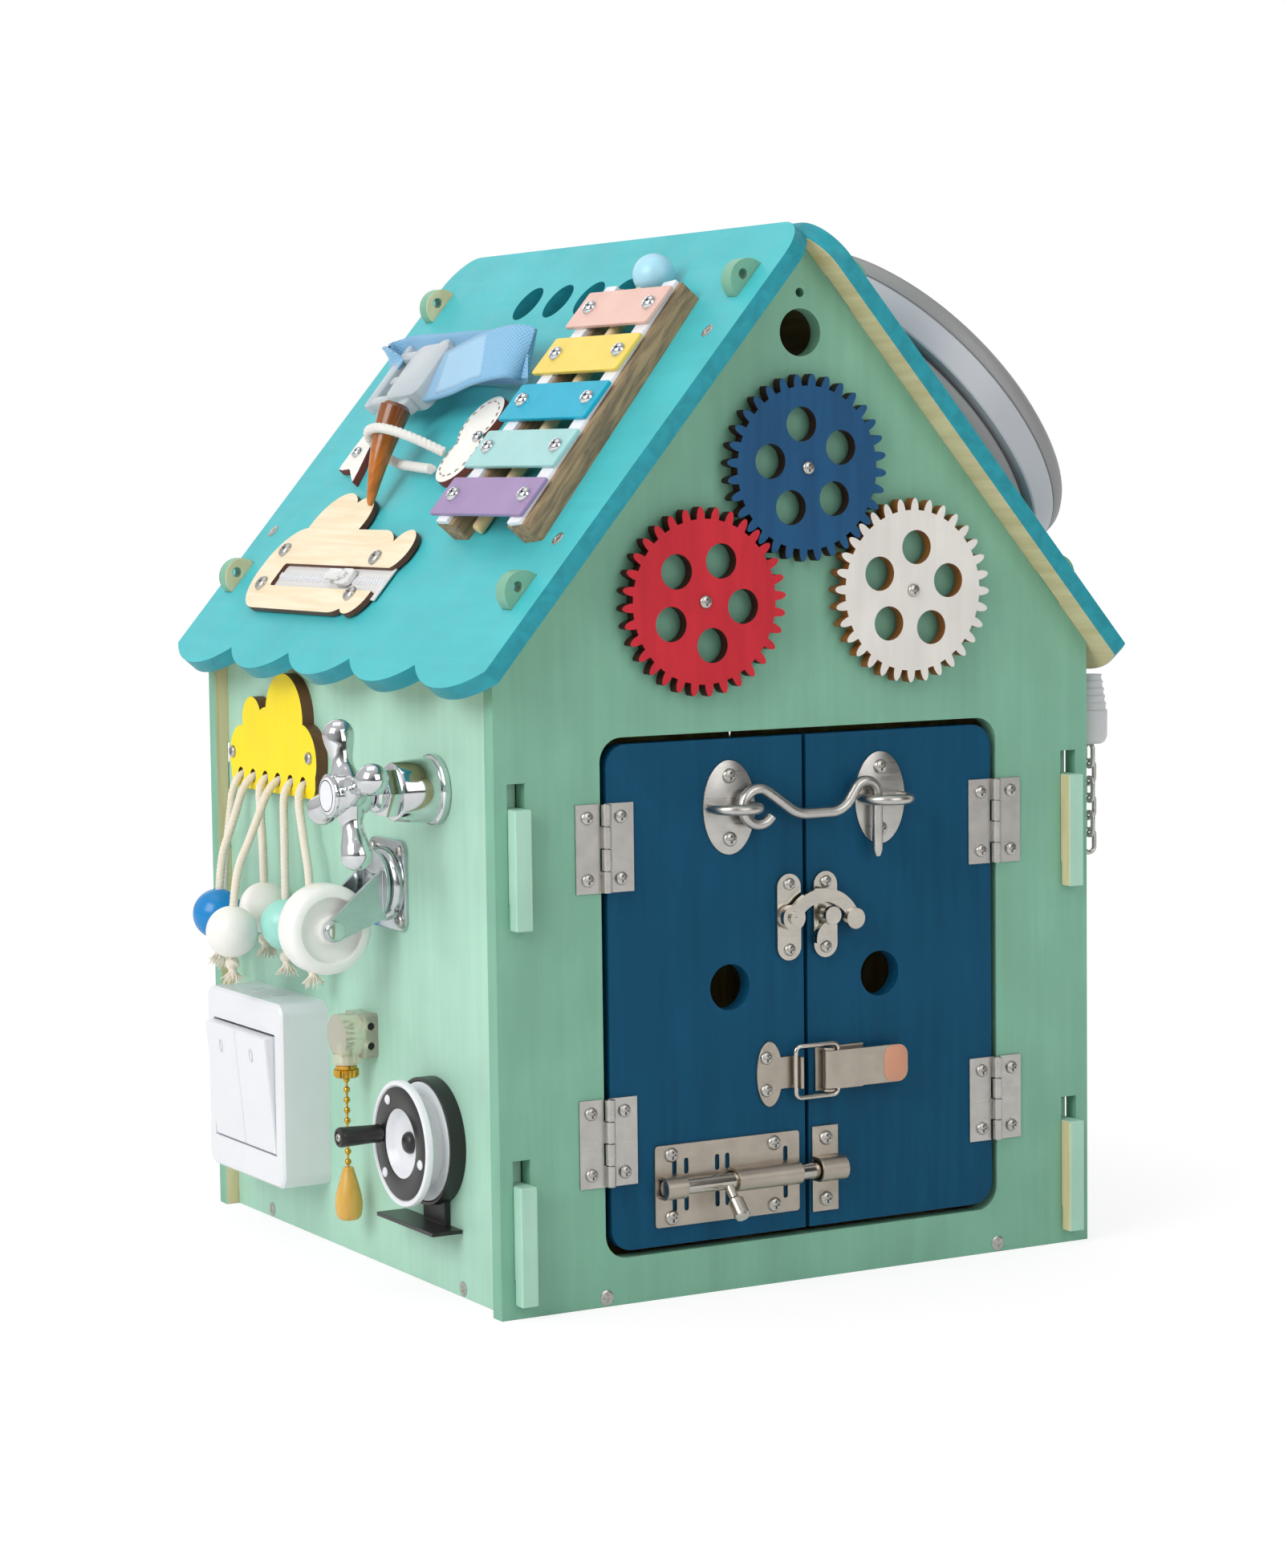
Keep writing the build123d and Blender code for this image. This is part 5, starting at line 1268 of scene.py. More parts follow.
@dataclass
class Tap:
    """Basin tap with a four-armed handle."""

    finishes: Finishes
    at: tuple[float, float] = (83.0, 219.7)
    arm_out: float = 42.0
    turn: float = 18.0

    def build(self) -> None:
        """Builds body and handle."""
        f = self.finishes
        body = [(0, 0), (14.9, 0), (15.4, 0.5), (15.4, 3.0), (14.9, 3.6), (14.0, 3.9), (14.4, 4.6), (14.2, 6.0),
                (12.8, 20.0), (12.4, 20.9), (11.4, 21.5), (5.0, 21.5), (5.0, 40.0), (0, 40.0)]
        shell = Shell().lathe(body, LEFT, self.at + (0.0,), sides=64)
        hexagon = ellipse(11.6, 11.6, self.at, 6)
        shell.prism(hexagon, LEFT, 21.5, 27.3, 0.7)
        collar = [(5.0, 27.3), (8.2, 27.3), (8.6, 27.9), (8.6, 29.6), (8.0, 30.4), (6.4, 31.5), (5.0, 31.7)]
        shell.lathe(collar, LEFT, self.at + (0.0,), sides=48)
        shell.build("tap_body_turned", f.chrome, "house", ("tap_body",))
        hub = [(0, 40.3), (5.3, 40.3), (5.3, 32.0), (6.6, 32.0), (7.6, 32.8), (8.4, 34.4), (9.2, 36.0), (9.4, 38.0),
               (9.4, 48.4), (9.0, 49.8), (9.3, 50.2), (9.3, 51.0), (8.8, 51.4), (0, 51.4)]
        shell = Shell().lathe(hub, LEFT, self.at + (0.0,), sides=56)
        angle = np.linspace(math.pi / 2, 0, 14)
        ball = np.stack([6.9 * np.sin(angle), 26.5 + 6.7 * np.cos(angle)], axis=1)
        waist = [[7.2, 6.0], [5.9, 9.5], [4.8, 12.5], [4.7, 15.5], [5.4, 19.0], [6.4, 22.8], [6.9, 26.5]]
        neck = flowing(np.array(waist), 30)
        arm = [tuple(p) for p in np.concatenate([[[0, 5.0]], neck, ball[1:]]).tolist()]
        for index in range(4):
            way = math.radians(self.turn + 90 * index)
            shell.lathe(arm, LEFT, self.at + (self.arm_out,), (math.cos(way), math.sin(way), 0), 32)
        shell.build("tap_handle_cast", f.chrome, "tap_handle", ("tap_handle",))
        disc = [(0, 51.2), (7.7, 51.2), (7.9, 51.5), (7.4, 52.0), (0, 52.15)]
        # A thin near-black ring on the disc is painted shade in a groove.
        groove_shade_line = ellipse(6.7, 6.7, self.at, 56)
        Shell().tube(LEFT.at(groove_shade_line[:, 0], groove_shade_line[:, 1], 52.0), 0.22, 6, loop=True).build(
            "tap_index_groove_shade", f.dark, "tap_handle", slot="white_plastic")
        Shell().lathe(disc, LEFT, self.at + (0.0,), sides=48).build(
            "tap_index_disc", f.white, "tap_handle", slot="white_plastic")


@dataclass
class Caster:
    """Swivel caster with a milky wheel."""

    finishes: Finishes
    at: tuple[float, float] = (36.3, 174.6)
    axle: tuple[float, float] = (-18.0, 32.6)
    radius: float = 20.0
    half: float = 8.5

    def build(self) -> None:
        """Builds plate, race, fork, axle ends and wheel."""
        f = self.finishes
        u, z = self.at
        shell = Shell().prism(rounded(36, 40, 5, self.at), LEFT, 0.0, 2.0, 0.5)
        race = [(16.5, 1.8), (16.5, 3.6), (15.6, 5.2), (14.0, 6.2), (12.4, 7.0), (8.0, 7.0), (3.0, 7.0), (3.0, 9.2),
                (5.0, 9.2), (5.0, 10.2), (4.2, 10.8), (0, 10.8)]
        shell.lathe([(0, 1.8)] + race, LEFT, self.at + (0.0,), sides=56)
        shell.build("caster_plate_pressed", f.zinc, "house", ("caster_plate",))
        places = tuple((u + a * 13.6, z + b * 15.4) for a in (-1, 1) for b in (-1, 1))
        Screws(LEFT, places, 2.0, 2.7).shell().build("caster_screws", f.steel, "house", slot="steel")
        softened("caster_fork", f.zinc, "caster_fork", 0.4)
        ends = Shell()
        for side in (-1, 1):
            start = (u + side * (self.half + 2.0), z + self.axle[0], self.axle[1])
            ends.lathe([(0, 0), (4.6, 0), (4.6, 1.6), (3.6, 2.6), (0, 3.0)], LEFT, start, (side, 0, 0), 24)
        ends.build("axle_heads", f.chrome, "caster_fork", slot="steel")
        r, h = self.radius, self.half
        rim = r - 5.5
        half = [(2.55, 0), (2.55, h), (5.8, h), (6.4, h - 0.4), (7.4, h - 3.2), (8.2, h - 3.5), (rim - 1.2, h - 3.5),
                (rim - 0.4, h - 3.0), (rim, h - 0.4), (rim + 0.5, h), (r - 3.4, h), (r - 1.6, h - 0.7),
                (r - 0.5, h - 2.0), (r, h - 3.8)]
        profile = [(a, -b) for a, b in half[1:]] + half[::-1][:-1]
        place_at = (u, z + self.axle[0], self.axle[1])
        Shell().lathe(profile + profile[:1], LEFT, place_at, (1, 0, 0), 72).build(
            "caster_wheel_moulded", f.milky, "caster_wheel", ("caster_wheel",))


@dataclass
class WallSwitch:
    """Two-rocker wall switch on a box."""

    finishes: Finishes
    at: tuple[float, float] = (-76.0, 70.0)
    key: float = 35.0
    tilt: float = math.atan2(5.0, 55.0)
    pivot: float = 20.5

    def build(self) -> None:
        """Builds box, rockers, ring marks and the knock-out mark."""
        f = self.finishes
        softened("switch_box", f.white, "house", 0.6, 3)
        u, z = self.at
        for side, node in ((-1, "rocker_back"), (1, "rocker_front")):
            softened(node, f.white, node, 0.5, 3)
            t = np.linspace(0, 2 * math.pi, 32, endpoint=False)
            x = u + side * self.key / 2 + 1.6 * np.cos(t)
            y = 17.5 + 2.9 * np.sin(t)
            lift = 6.0
            path = LEFT.at(x, z + y * math.cos(self.tilt) - lift * math.sin(self.tilt),
                           self.pivot + y * math.sin(self.tilt) + lift * math.cos(self.tilt))
            Shell().tube(path, 0.42, 8, loop=True).build(node + "_ring_mark", f.pale, node, slot="white_plastic")
        mark = rounded(26.0, 7.0, 1.0, (0, 0))
        path = LEFT.at(u + mark[:, 0], z + 43.0 + 0 * mark[:, 0], 11.0 + mark[:, 1])
        Shell().tube(path, 0.28, 6, loop=True).build("switch_knock_out", f.pale, "house", slot="white_plastic")


@dataclass
class PullSwitch:
    """Clear pull switch with ball chain and wooden knob."""

    finishes: Finishes
    at: tuple[float, float] = (10.5, 104.0)
    chain_out: float = 11.5
    low: float = 44.0

    def build(self) -> None:
        """Builds body, inner dark sleeves as painted shade of its holes, nut, chain and knob."""
        f = self.finishes
        u, z = self.at
        softened("pull_switch_body", f.clear, "house", 0.6, 3)
        # Two near-black sleeves inside the clear body are painted shade in its holes.
        works = Shell()
        for side in (-1, 1):
            works.lathe([(0, 0), (1.5, 0), (1.5, 7), (0, 7)], LEFT, (u + 2.5, z + side * 4.5, 3.5), (1, 0, 0), 16)
        works.build("hole_shade_sleeves", f.dark, "house", slot="black_metal")
        spring = np.linspace(0, 10 * math.pi, 160)
        coil = LEFT.at(u + 2.6 * np.cos(spring), z - 4.0 + 8.0 * spring / spring[-1], 11.5 + 2.6 * np.sin(spring))
        Shell().tube(coil, 0.35, 8).build("return_coil", f.steel, "house", slot="steel")
        angle = np.linspace(0, 2 * math.pi, 72, endpoint=False)
        knurl = 5.45 + 0.3 * np.sign(np.cos(18 * angle))
        rows = []
        turned = ((0.6, 85.0), (0.92, 85.0), (1.0, 85.8), (1.0, 88.6), (0.9, 89.0), (0.9, 90.4), (0.98, 90.8),
                  (0.6, 91.0))
        for share, height in turned:
            reach = knurl * share if 85.5 < height < 88.8 else 5.4 * share + 0 * angle
            rows.append(LEFT.at(u + reach * np.cos(angle), height + 0 * angle, self.chain_out + reach * np.sin(angle)))
        Shell().grid(np.stack(rows), wrap=True, caps=True).build("knurled_nut", f.brass, "house", ("pull_switch_nut",))
        chain = Shell()
        ball = Shell().lathe(sphere_profile(1.55, 0, 11), LEFT, (u, 0.0, self.chain_out), (0, 1, 0), 18)
        heights = self.low + (np.arange(10) + 0.5) * 4.7
        chain.copies(ball, np.stack([0 * heights, 0 * heights, heights * MM], axis=1))
        chain.lathe([(0, 42.0), (0.55, 42.0), (0.55, 90.5), (0, 90.5)], LEFT, (u, 0.0, self.chain_out), (0, 1, 0), 10)
        chain.build("ball_chain", f.brass, "pull_chain", ("pull_chain",))
        swell = [[4.0, 20.0], [5.4, 21.4], [6.1, 25.0], [6.2, 28.6], [5.4, 33.0], [4.2, 37.5], [3.0, 41.5], [2.5, 43.6]]
        line = flowing(np.array(swell), 40)
        knob = [(0, 20.0)] + [tuple(p) for p in line.tolist()] + [(2.1, 44.0), (0, 44.0)]
        Shell().lathe(knob, LEFT, (u, 0.0, self.chain_out), (0, 1, 0), 48).build(
            "chain_knob", f.knob_wood, "pull_chain", slot="pine")


@dataclass
class Reel:
    """Fly reel with a spinning spool."""

    finishes: Finishes
    at: tuple[float, float] = (78.4, 65.85)
    crank: float = 18.5
    crank_turn: float = math.radians(6.0)

    def build(self) -> None:
        """Builds frame, spool, rivets and handle."""
        f = self.finishes
        u, z = self.at
        softened("reel_frame", f.black, "house", 0.5, 3)
        spool = [(3.05, 5.2), (26.0, 5.2), (26.0, 7.2), (20.0, 7.2), (20.0, 15.2), (27.2, 15.2), (27.7, 15.7),
                 (27.7, 17.6), (27.3, 18.2), (26.6, 18.4), (25.6, 18.4), (25.2, 18.0), (25.0, 17.6), (15.2, 17.6),
                 (14.6, 17.2), (13.6, 15.6), (12.4, 14.2), (11.2, 13.4), (3.05, 12.9)]
        Shell().lathe(spool + spool[:1], LEFT, self.at + (0.0,), sides=80).build(
            "reel_spool_turned", f.white, "reel_spool", ("reel_spool",))
        ring = [(15.3, 17.55), (24.8, 17.55), (24.8, 17.95), (24.4, 18.15), (15.8, 18.15), (15.3, 17.95)]
        Shell().lathe(ring + ring[:1], LEFT, self.at + (0.0,), sides=80).build(
            "reel_ring", f.black, "reel_spool", slot="black_metal")
        white = Shell()
        for angle in (122, -17, -135):
            way = math.radians(angle)
            spot = (u + 21.0 * math.cos(way), z + 21.0 * math.sin(way), 18.1)
            white.lathe([(0, -0.2), (2.2, -0.2), (2.2, 0.4), (1.5, 1.0), (0, 1.2)], LEFT, spot, sides=20)
        white.build("reel_rivets", f.white, "reel_spool", slot="white_plastic")
        nut = [(0, 12.8), (4.8, 12.8), (4.8, 14.2), (4.0, 15.4), (2.2, 16.2), (0, 16.4)]
        Shell().lathe(nut, LEFT, self.at + (0.0,), sides=32).build(
            "reel_nut", f.black, "reel_spool", slot="black_metal")
        pin_at = (u - self.crank * math.cos(self.crank_turn), z + self.crank * math.sin(self.crank_turn), 0.0)
        pin = [(0, 17.2), (2.6, 17.2), (2.6, 18.6), (1.6, 18.75), (1.6, 38.5), (0, 38.5)]
        Shell().lathe(pin, LEFT, pin_at, sides=24).build("crank_pin", f.steel, "reel_spool", slot="steel")
        grip = [(1.66, 18.9), (3.8, 18.9), (4.1, 19.4), (4.0, 23.0), (4.2, 30.0), (4.45, 36.5), (4.45, 38.2),
                (4.0, 39.0), (3.0, 39.2), (2.7, 38.6), (1.66, 38.6)]
        Shell().lathe(grip + grip[:1], LEFT, pin_at, sides=40).build("crank_grip", f.black, "reel_knob", ("reel_knob",))
        Screws(LEFT, (pin_at[:2],), 38.4, 1.9).shell().build("crank_end_screw", f.steel, "reel_spool", slot="steel")


@dataclass
class Xylophone:
    """Five bars on two rails, with a mallet between."""

    finishes: Finishes
    first: float = 54.5
    pitch: float = 26.75
    rail_rows: tuple[float, float] = (39.5, 174.5)
    back_u: float = 59.0
    front_u: tuple[float, float] = (110.4, 126.5)
    head: tuple[float, float] = (83.0, -31.6)
    end: tuple[float, float] = (76.0, -172.0)

    def build(self) -> None:
        """Builds rails, strips, bars, screws and mallet."""
        f = self.finishes
        d0, d1 = self.rail_rows
        lean = math.atan2(self.front_u[1] - self.front_u[0], d1 - d0)
        slant = math.hypot(self.front_u[1] - self.front_u[0], d1 - d0)
        wood, felt = Shell(), Shell()
        for centre, tilt, length in ((sum(self.front_u) / 2, lean, slant), (self.back_u, 0.0, d1 - d0)):
            turn = np.array([[math.cos(tilt), -math.sin(tilt)], [math.sin(tilt), math.cos(tilt)]])
            middle = np.array([centre, -(d0 + d1) / 2])
            wood.prism(rounded(15.0, length, 1.0) @ turn.T + middle, ROOF_L, 0.0, 11.0, 0.6)
            felt.prism(rounded(10.0, length, 0.8) @ turn.T + middle, ROOF_L, 11.0, 13.0, 0.4)
        wood.build("xylophone_rails_pine", f.pine, "house", ("xylophone_rails",))
        felt.build("xylophone_felt", f.white, "house", slot="white_plastic")
        softened("xylophone_keys", f.keys, "house", 0.5, 3)
        places = []
        for index in range(5):
            d = self.first + self.pitch * index
            share = (d - d0) / (d1 - d0)
            places += [(self.back_u, -d), (self.front_u[0] + share * (self.front_u[1] - self.front_u[0]), -d)]
        Screws(ROOF_L, tuple(places), 15.0, 3.6, Head.DOME).shell().build("bar_screws", f.chrome, "house", slot="steel")
        top, low = np.array(self.head + (9.5,)), np.array(self.end + (3.2,))
        along = low - top
        length = float(np.linalg.norm(along))
        stick = [(0, 2.0), (3.0, 2.0), (3.0, length - 1.6), (2.4, length - 0.4), (0, length)]
        Shell().lathe(stick, ROOF_L, tuple(top), tuple(along), 28).build(
            "mallet_stick", f.stick_wood, "mallet", ("mallet",))
        Shell().lathe(sphere_profile(9.5, 0, 25), ROOF_L, tuple(top), tuple(along), 48).build(
            "mallet_head", f.sky_bead, "mallet", slot="painted_beads")


@dataclass
class Belt:
    """Webbing loop with a side-release buckle."""

    finishes: Finishes
    width: float = 25.0
    stations: tuple[tuple[float, float, float, float], ...] = (
        (-96, -92, 15.5, 8), (-102, -90, 15.0, 10), (-107, -86, 14.0, 16), (-109, -80, 11.5, 28), (-106, -76, 9.8, 38),
        (-97, -74.5, 9.6, 45), (-80, -74.5, 9.6, 45), (-58, -74.5, 9.6, 45), (-34, -74.5, 9.6, 45), (-12, -75, 9.6, 42),
        (8, -75.5, 9.0, 34), (20, -76, 9.5, 26), (24, -78, 13.5, 20), (18, -81, 19.0, 20), (0, -86.5, 21.5, 21),
        (-20, -91, 20.0, 21), (-40, -92.5, 17.5, 15), (-50, -92, 16, 8))
    thick: float = 1.3
    rows: int = 170
    tag_rows: tuple[int, int] = (137, 157)
    tag_thick: float = 0.6
    buckle_at: tuple[float, float] = (-73.5, -91.0)
    buckle_turn: float = 4.0
    moulding: tuple[tuple[float, float, tuple[float, float], float, float, float], ...] = (
        (32, 33, (12, 0), 9.5, 20.5, 6), (8, 34, (-24, 0), 11.5, 17.5, 2.5), (24, 5.5, (-10, 14), 11.5, 18.0, 2.4),
        (24, 5.5, (-10, -14), 11.5, 18.0, 2.4), (20, 5, (-10, 0), 12.5, 16.5, 2.0), (5, 33, (-8, 0), 12.0, 17.0, 2.0),
        (10, 7, (15, 17), 11.5, 18.5, 3.2), (10, 7, (15, -17), 11.5, 18.5, 3.2), (5.5, 7, (-25, 19), 12.0, 17.0, 2.4))

    def _strip(self) -> tuple[Array, Array, float]:
        """Gives the strap's grid, its lay and its length: a line with a cross direction that leans."""
        line = flowing(np.array(self.stations, float), self.rows)
        path = line[:, :3]
        tangent = np.gradient(path, axis=0)
        tangent = tangent / np.linalg.norm(tangent, axis=1, keepdims=True)
        across = np.array([0.0, 1.0, 0.0]) - tangent[:, 1:2] * tangent
        across = across / np.linalg.norm(across, axis=1, keepdims=True)
        normal = np.cross(tangent, across)
        normal = normal * np.sign(normal[:, 2:3] + 1e-9)
        lean = np.radians(line[:, 3:4])
        across = np.cos(lean) * across + np.sin(lean) * normal
        share = np.linspace(-0.5, 0.5, 13) * self.width
        p = path[:, None] + share[None, :, None] * across[:, None]
        p[..., 2] = np.maximum(p[..., 2], 0.8)
        run = np.concatenate([[0.0], np.cumsum(np.linalg.norm(np.diff(path, axis=0), axis=1))])
        lay = np.stack([np.repeat(run[:, None], 13, 1), np.repeat(share[None], len(path), 0), 0 * p[..., 0]], axis=-1)
        return ROOF_L.at(p[..., 0], p[..., 1], p[..., 2]), lay, float(run[-1])

    def _buckle(self) -> None:
        """Builds the clear buckle: socket, plug frame, side springs, bars and finger tabs."""
        f = self.finishes
        turn = math.radians(self.buckle_turn)
        spin = np.array([[math.cos(turn), -math.sin(turn)], [math.sin(turn), math.cos(turn)]])
        shell = Shell()
        for wide, high, at, low, top, radius in self.moulding:
            outline = rounded(wide, high, radius, at, 6) @ spin.T + np.array(self.buckle_at)
            shell.prism(outline, ROOF_L, low, top, 1.2)
        shell.build("buckle_moulded", f.buckle, "house", ("belt_buckle",))

    def build(self) -> None:
        """Builds strap, tag and buckle."""
        f = self.finishes
        grid, lay, length = self._strip()
        strap = Shell().grid(grid, lay=lay).build("strap_webbing", f.strap, "house", ("belt_strap",), closed=False)
        wall = strap.modifiers.new("thickness", "SOLIDIFY")
        wall.thickness = self.thick * MM
        wall.offset = 0.0
        self._buckle()
        rows = slice(*self.tag_rows)
        lift = np.array(ROOF_L.out) * MM
        tag = Shell().grid(grid[rows, 1:12] + lift, lay=lay[rows, 1:12]).build(
            "strap_tag", f.tag, "house", closed=False, slot="webbing")
        back = tag.modifiers.new("thickness", "SOLIDIFY")
        back.thickness = self.tag_thick * MM
        Screws(ROOF_L, ((-60.0, -70.5),), 1.6, 3.2).shell().build("strap_screw", f.steel, "house", slot="steel")


@dataclass
class Toggle:
    """Horn toggle in a rope loop between two hide patches."""

    finishes: Finishes
    horn_top: Point = (-42.0, -116.0, 25.0)
    horn_tip: Point = (-42.0, -161.0, 6.2)
    thick: float = 4.0
    fishtail: tuple[tuple[float, float], ...] = (
        (-114, -139), (-101, -136), (-85, -147), (-95, -126), (-103, -108), (-113, -106))
    lobes: tuple[tuple[float, float], ...] = ((2.5, -109.0), (7.0, -130.0))
    lobe: float = 15.0
    rope_u: float = -8.5
    rope: float = 2.0

    def _patch_outline(self) -> Array:
        """Gives the right patch's outline, two round lobes with a waist.

        Seen from the middle, the outline in a direction e is the farther of the two lobes:
        d.e + sqrt(r^2 - d.d + (d.e)^2), with d from the middle to the lobe's centre.
        """
        angle = np.linspace(0, 2 * math.pi, 112, endpoint=False)
        way = np.stack([np.cos(angle), np.sin(angle)], axis=1)
        middle = np.mean(self.lobes, axis=0)
        reach = np.array(self.lobes) - middle
        along = way @ reach.T
        far = along + np.sqrt(self.lobe ** 2 - (reach ** 2).sum(1) + along ** 2)
        return middle + way * far.max(axis=1, keepdims=True)

    def _tail_outline(self) -> Array:
        """Gives the fishtail patch with softened corners."""
        ring = np.array(self.fishtail + self.fishtail[:2] + self.fishtail[2:3], float)
        t = np.linspace(0, len(self.fishtail), 90, endpoint=False)
        i = t.astype(int)
        f = (t - i)[:, None]
        mid_a, mid_b = (ring[i] + ring[i + 1]) / 2, (ring[i + 1] + ring[i + 2]) / 2
        bend = (1 - f) ** 2 * mid_a + 2 * f * (1 - f) * ring[i + 1] + f ** 2 * mid_b
        sharp = ring[i + 1] * 0.35 + bend * 0.65
        return np.where(np.abs(f - 0.5) < 0.2, sharp, bend)

    def _stitches(self, outline: Array) -> Shell:
        """Lays short stitches inside an outline."""
        centre = outline.mean(0)
        inner = centre + (outline - centre) * 0.86
        shell = Shell()
        for start in range(0, len(inner) - 2, 4):
            seam = inner[[start, start + 1, start + 2]]
            lift = self.thick + np.array([-0.1, 0.35, -0.1])
            shell.tube(ROOF_L.at(seam[:, 0], seam[:, 1], lift), 0.4, 7)
        return shell

    def build(self) -> None:
        """Builds patches, stitches, horn and rope."""
        f = self.finishes
        right, tail = self._patch_outline(), self._tail_outline()
        Shell().prism(right, ROOF_L, 0.0, self.thick, 0.7).prism(tail, ROOF_L, 0.0, self.thick, 0.6).build(
            "toggle_hide", f.leather, "house", ("toggle_patches",))
        self._stitches(right).build("hide_stitches", f.thread, "house", slot="cotton")
        Screws(ROOF_L, ((-104.0, -127.0), (13.0, -119.0)), self.thick, 3.1, Head.DOME).shell().build(
            "toggle_screws", f.chrome, "house", slot="steel")
        top, tip = np.array(self.horn_top), np.array(self.horn_tip)
        along = tip - top
        length = float(np.linalg.norm(along))
        t = np.linspace(0, 1, 24)
        line = top + t[:, None] * along + np.array([0, 0, 1.0]) * (1.6 * np.sin(math.pi * t))[:, None]
        wide = 7.6 - 6.0 * t ** 1.25
        wide[0], wide[-1] = 5.8, 0.9
        Shell().tube(ROOF_L.at(*line.T), wide, 32).build("toggle_horn_turned", f.horn, "house", ("toggle_horn",))
        u, horn_u = self.rope_u, self.horn_top[0]
        v = self.horn_top[1] - 18
        on_hide, over = self.thick + self.rope, self.horn_top[2] + 3.0
        route = np.array([(u + 2, v + 5, on_hide), (u - 16, v + 3, over - 1), (horn_u - 11.5, v + 1, over),
                          (horn_u - 12.5, v - 1, self.rope + 4), (u - 16, v - 3, self.rope + 3),
                          (u + 2, v - 5, on_hide)])
        path = route_points(ROOF_L.at(*route.T))
        rope = Shell().tube(path, 1.2 * self.rope, 24, lobes=3, pitch=8.0, depth=0.2).build(
            "toggle_rope_laid", f.white_rope, "house", ("toggle_rope",))
        LOG.info("horn length %.1f mm", length)


@dataclass
class ZipPanel:
    """Zip on its tape behind a wooden plate."""

    finishes: Finishes
    row: float = -201.0
    span: tuple[float, float] = (-104.0, 21.0)
    half: float = 10.0
    window_u: float = -94.0
    slider_u: float = -18.0
    screws: tuple[tuple[float, float], ...] = ((-103.9, -186.9), (-102.8, -207.1), (-1.5, -189.4), (-0.6, -210.1))

    def build(self) -> None:
        """Builds tape, teeth, plate, screws and slider."""
        f = self.finishes
        u = np.linspace(*self.span, 60)[:, None]
        across = np.linspace(-self.half, self.half, 25)[None]
        lift = 1.0 + 0.0 * u * across
        lay = np.stack([u + 0 * across, across + 0 * u, 0 * lift], axis=-1)
        tape = Shell().grid(ROOF_L.at(u + 0 * across, self.row + across + 0 * u, lift), lay=lay)
        cloth = tape.build("zip_cloth", f.tape, "house", ("zip_tape",), closed=False)
        wall = cloth.modifiers.new("thickness", "SOLIDIFY")
        wall.thickness = 0.9 * MM
        wall.offset = -1.0
        tooth = Shell().prism(rounded(0.95, 2.9, 0.4, (0, 0), 4), ROOF_L, 0.9, 2.8, 0.35)
        pitch = np.arange(self.window_u + 0.8, self.span[1] - 0.6, 1.5)
        side = np.where(np.arange(len(pitch)) % 2 == 0, 0.9, -0.9)
        offsets = ROOF_L.at(pitch, self.row + side, 0.0) - ROOF_L.at(0.0, 0.0, 0.0)
        Shell().copies(tooth, offsets).build("zip_teeth", f.white, "house", slot="white_plastic")
        softened("zip_plate", f.zip_wood, "house", 0.3)
        Screws(ROOF_L, self.screws, 4.0, 3.9).shell().build("zip_screws", f.steel, "house", slot="steel")
        car = Shell().prism(rounded(14.0, 9.0, 3.2, (self.slider_u, self.row)), ROOF_L, 3.0, 5.4, 0.6)
        car.prism(rounded(6.0, 3.4, 1.2, (self.slider_u, self.row)), ROOF_L, 5.4, 7.0, 0.4)
        car.prism(rounded(16.0, 6.0, 2.4, (self.slider_u - 9.0, self.row)), ROOF_L, 5.8, 6.9, 0.4)
        car.build("zip_slider_cast", f.slider, "zip_slider", ("zip_slider",))


@dataclass
class Lamp:
    """Round press lamp on the right slope."""

    finishes: Finishes
    at: tuple[float, float] = (-74.0, -121.0)
    radius: float = 88.0

    def build(self) -> None:
        """Builds base, band and cap."""
        f = self.finishes
        r = self.radius
        base = [(0, 0), (r - 3.5, 0), (r - 3.0, 0.8), (r - 3.0, 8.0), (r - 3.8, 9.0), (30.0, 9.0), (30.0, 22.5),
                (0, 22.5)]
        Shell().lathe(base, ROOF_R, self.at + (0.0,), sides=96).build(
            "lamp_base_moulded", f.lamp_grey, "house", ("lamp_base",))
        band = [(30.1, 11.5), (r - 0.6, 11.5), (r, 12.2), (r, 24.4), (r - 0.8, 25.0), (30.1, 25.0)]
        Shell().lathe(band + band[:1], ROOF_R, self.at + (0.0,), sides=112).build(
            "lamp_band", f.lamp_band, "lamp_cap", ("lamp_cap",))
        dome = [(0, 25.0), (r - 1.4, 25.0), (r - 0.4, 25.7), (r, 27.0), (r, 30.5), (r - 1.2, 32.6), (r - 4.0, 34.3),
                (0.6 * r, 36.2), (0.3 * r, 37.2), (0, 37.5)]
        Shell().lathe(dome, ROOF_R, self.at + (0.0,), sides=112).build(
            "lamp_crown", f.lamp_grey, "lamp_cap", slot="grey_plastic")


